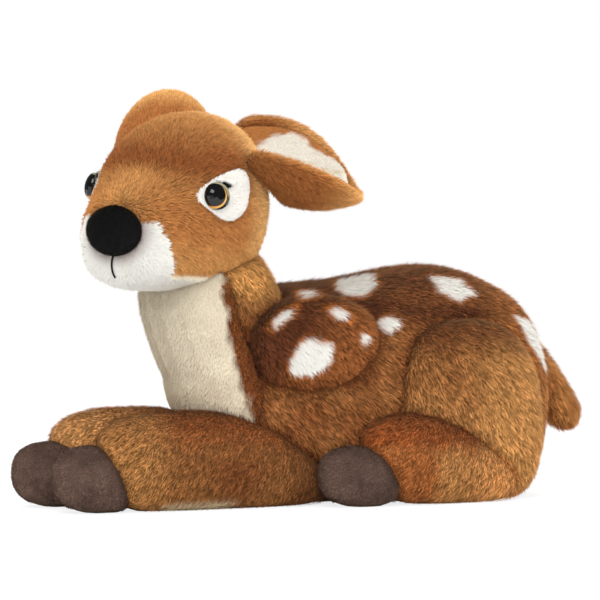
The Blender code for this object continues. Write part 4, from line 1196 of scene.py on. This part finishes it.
def eye_material(word):
    """A safety eye under clear plastic: dark pupil, amber iris, and an olive rim that is black low down."""
    _, colours = settings()
    points = node_points("eye_" + word)
    out = eye_axis(word)
    centre = points[(points @ out) > (points @ out).max() - DOME_HEIGHT].mean(0)
    material, tree, surface = new_material("eye_" + word, 0.04)
    set_inputs(surface, {"Coat Weight": 0.15, "Coat Roughness": 0.02, "Specular IOR Level": 0.35})
    place = object_place(tree)

    def off_axis(forward, up):
        """How far a place lies from the eye's axis, when that is moved towards the nose and up."""
        away = vector_node(tree, "SUBTRACT", place, centre + (forward * -head_back + up * head_up))
        cross = vector_node(tree, "CROSS_PRODUCT", away, out)
        return vector_node(tree, "LENGTH", cross, result="Value")

    ring = off_axis(IRIS_FORWARD, IRIS_UP)
    stops = ((0.0, colours.iris), (IRIS_SHARE, colours.iris), *EYE_RINGS)
    rings = colour_ramp(tree, span(tree, ring, 0, EYE_RADIUS, 0, 1), stops)
    level = float(centre @ head_up)
    height = vector_node(tree, "DOT_PRODUCT", place, head_up, result="Value")
    low = span(tree, height, level + RIM_LOW, level + RIM_HIGH, 1, 0)
    rim = span(tree, ring, EYE_RADIUS * RIM_SHARES[0], EYE_RADIUS * RIM_SHARES[1], 0, 1)
    pupil = span(tree, off_axis(PUPIL_FORWARD, PUPIL_UP), PUPIL_RADIUS, PUPIL_RADIUS * 1.04, 1, 0)
    dark = math_node(tree, "MAXIMUM", pupil, product(tree, low, rim))
    mix = add_node(tree, "ShaderNodeMix", {"Factor": dark, 6: rings, 7: PUPIL_BLACK}, data_type="RGBA")
    tree.links.new(mix.outputs[2], surface.inputs["Base Color"])
    return material


class DressHard(DressStep):
    """Plastic eyes, their washers and the mouth's thread"""

    bl_idname = "deer.hard"
    bl_label = "Eyes and thread"

    def make(self, pile, colours):
        washer = plain_material("washer_plastic", (0.70, 0.70, 0.68), 300, 0.03, 0.35)
        looks = {"mouth_stitch": plain_material("black_thread", colours.black, 2500, 0.5, 0.7)}
        for _, word in SIDES:
            looks["eye_" + word] = eye_material(word)
            looks["eye_washer_" + word] = washer
        for node, material in looks.items():
            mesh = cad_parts[node].data
            mesh.materials.clear()
            mesh.materials.append(material)


class DressStage(DressStep):
    """Floor, light and camera"""

    bl_idname = "deer.stage"
    bl_label = "Stage"

    def make(self, pile, colours):
        mesh = bpy.data.meshes.new("floor")
        mesh.from_pydata(FLOOR_CORNERS, [], [(0, 1, 2, 3)])
        mesh.materials.append(self.floor_material())
        floor = new_object("floor", mesh)
        self.world()
        for lamp in LAMPS:
            self.lamp(*lamp)
        camera = bpy.data.cameras.new("camera")
        camera.lens = CAMERA_LENS
        camera.sensor_width = CAMERA_SENSOR
        view = new_object("camera", camera)
        view.location = CAMERA_PLACE
        view.rotation_euler = (math.radians(90), 0, math.radians(CAMERA_TURN))
        bpy.context.scene.camera = view
        bpy.context.scene.view_settings.view_transform = "Standard"

    def floor_material(self):
        material = bpy.data.materials.new("pale_floor")
        material.use_nodes = True
        tree = material.node_tree
        surface = tree.nodes["Principled BSDF"]
        set_inputs(surface, {"Base Color": FLOOR_COLOUR, "Roughness": 0.9})
        seen = add_node(tree, "ShaderNodeLightPath").outputs["Is Camera Ray"]
        glow = add_node(tree, "ShaderNodeEmission", {"Strength": FLOOR_GLOW}).outputs[0]
        inputs = {0: product(tree, seen, GLOW_SHARE), 1: surface.outputs[0], 2: glow}
        mix = add_node(tree, "ShaderNodeMixShader", inputs)
        tree.links.new(mix.outputs[0], tree.nodes["Material Output"].inputs["Surface"])
        return material

    def world(self):
        world = bpy.data.worlds.new("studio")
        bpy.context.scene.world = world
        world.use_nodes = True
        tree = world.node_tree
        tree.nodes.clear()
        path = add_node(tree, "ShaderNodeLightPath").outputs
        light = span(tree, path["Is Glossy Ray"], 0, 1, WORLD_LIGHT, WORLD_IN_GLOSS)
        soft = add_node(tree, "ShaderNodeBackground", {"Color": WHITE, "Strength": light}).outputs[0]
        white = add_node(tree, "ShaderNodeBackground", {"Color": WHITE}).outputs[0]
        seen = math_node(tree, "MAXIMUM", path["Is Camera Ray"], path["Is Transmission Ray"])
        mix = add_node(tree, "ShaderNodeMixShader", {0: seen, 1: soft, 2: white}).outputs[0]
        add_node(tree, "ShaderNodeOutputWorld", {"Surface": mix})

    def lamp(self, name, place, size, power):
        light = bpy.data.lights.new(name, "AREA")
        light.size = size
        light.energy = power
        lamp = new_object(name, light)
        lamp.location = place
        lamp.rotation_euler = (Vector(LAMP_AIM) - Vector(place)).to_track_quat("-Z", "Y").to_euler()
        lamp.visible_glossy = name == "key_light"


class DeerPanel(bpy.types.Panel):
    """Lists the steps and the values of the plush deer"""

    bl_idname = "VIEW3D_PT_deer"
    bl_label = "Plush Deer"
    bl_space_type = "VIEW_3D"
    bl_region_type = "UI"
    bl_category = "Plush Deer"

    def draw(self, context):
        for step in STEPS:
            self.layout.operator(step.bl_idname)
        for group in (context.scene.deer_pile, context.scene.deer_colours):
            box = self.layout.box()
            for name in group.__annotations__:
                box.prop(group, name)


STEPS = (DressTorso, DressNeck, DressHead, DressEars, DressLegs, DressTail, DressHard, DressStage)
CLASSES = (DeerPile, DeerColours, *STEPS, DeerPanel)


def register():
    for cls in CLASSES:
        bpy.utils.register_class(cls)
    bpy.types.Scene.deer_pile = PointerProperty(type=DeerPile)
    bpy.types.Scene.deer_colours = PointerProperty(type=DeerColours)


def unregister():
    del bpy.types.Scene.deer_colours
    del bpy.types.Scene.deer_pile
    for cls in reversed(CLASSES):
        bpy.utils.unregister_class(cls)


def main():
    register()
    for step in STEPS:
        group, name = step.bl_idname.split(".")
        getattr(getattr(bpy.ops, group), name)()


if __name__ == "__main__":
    main()
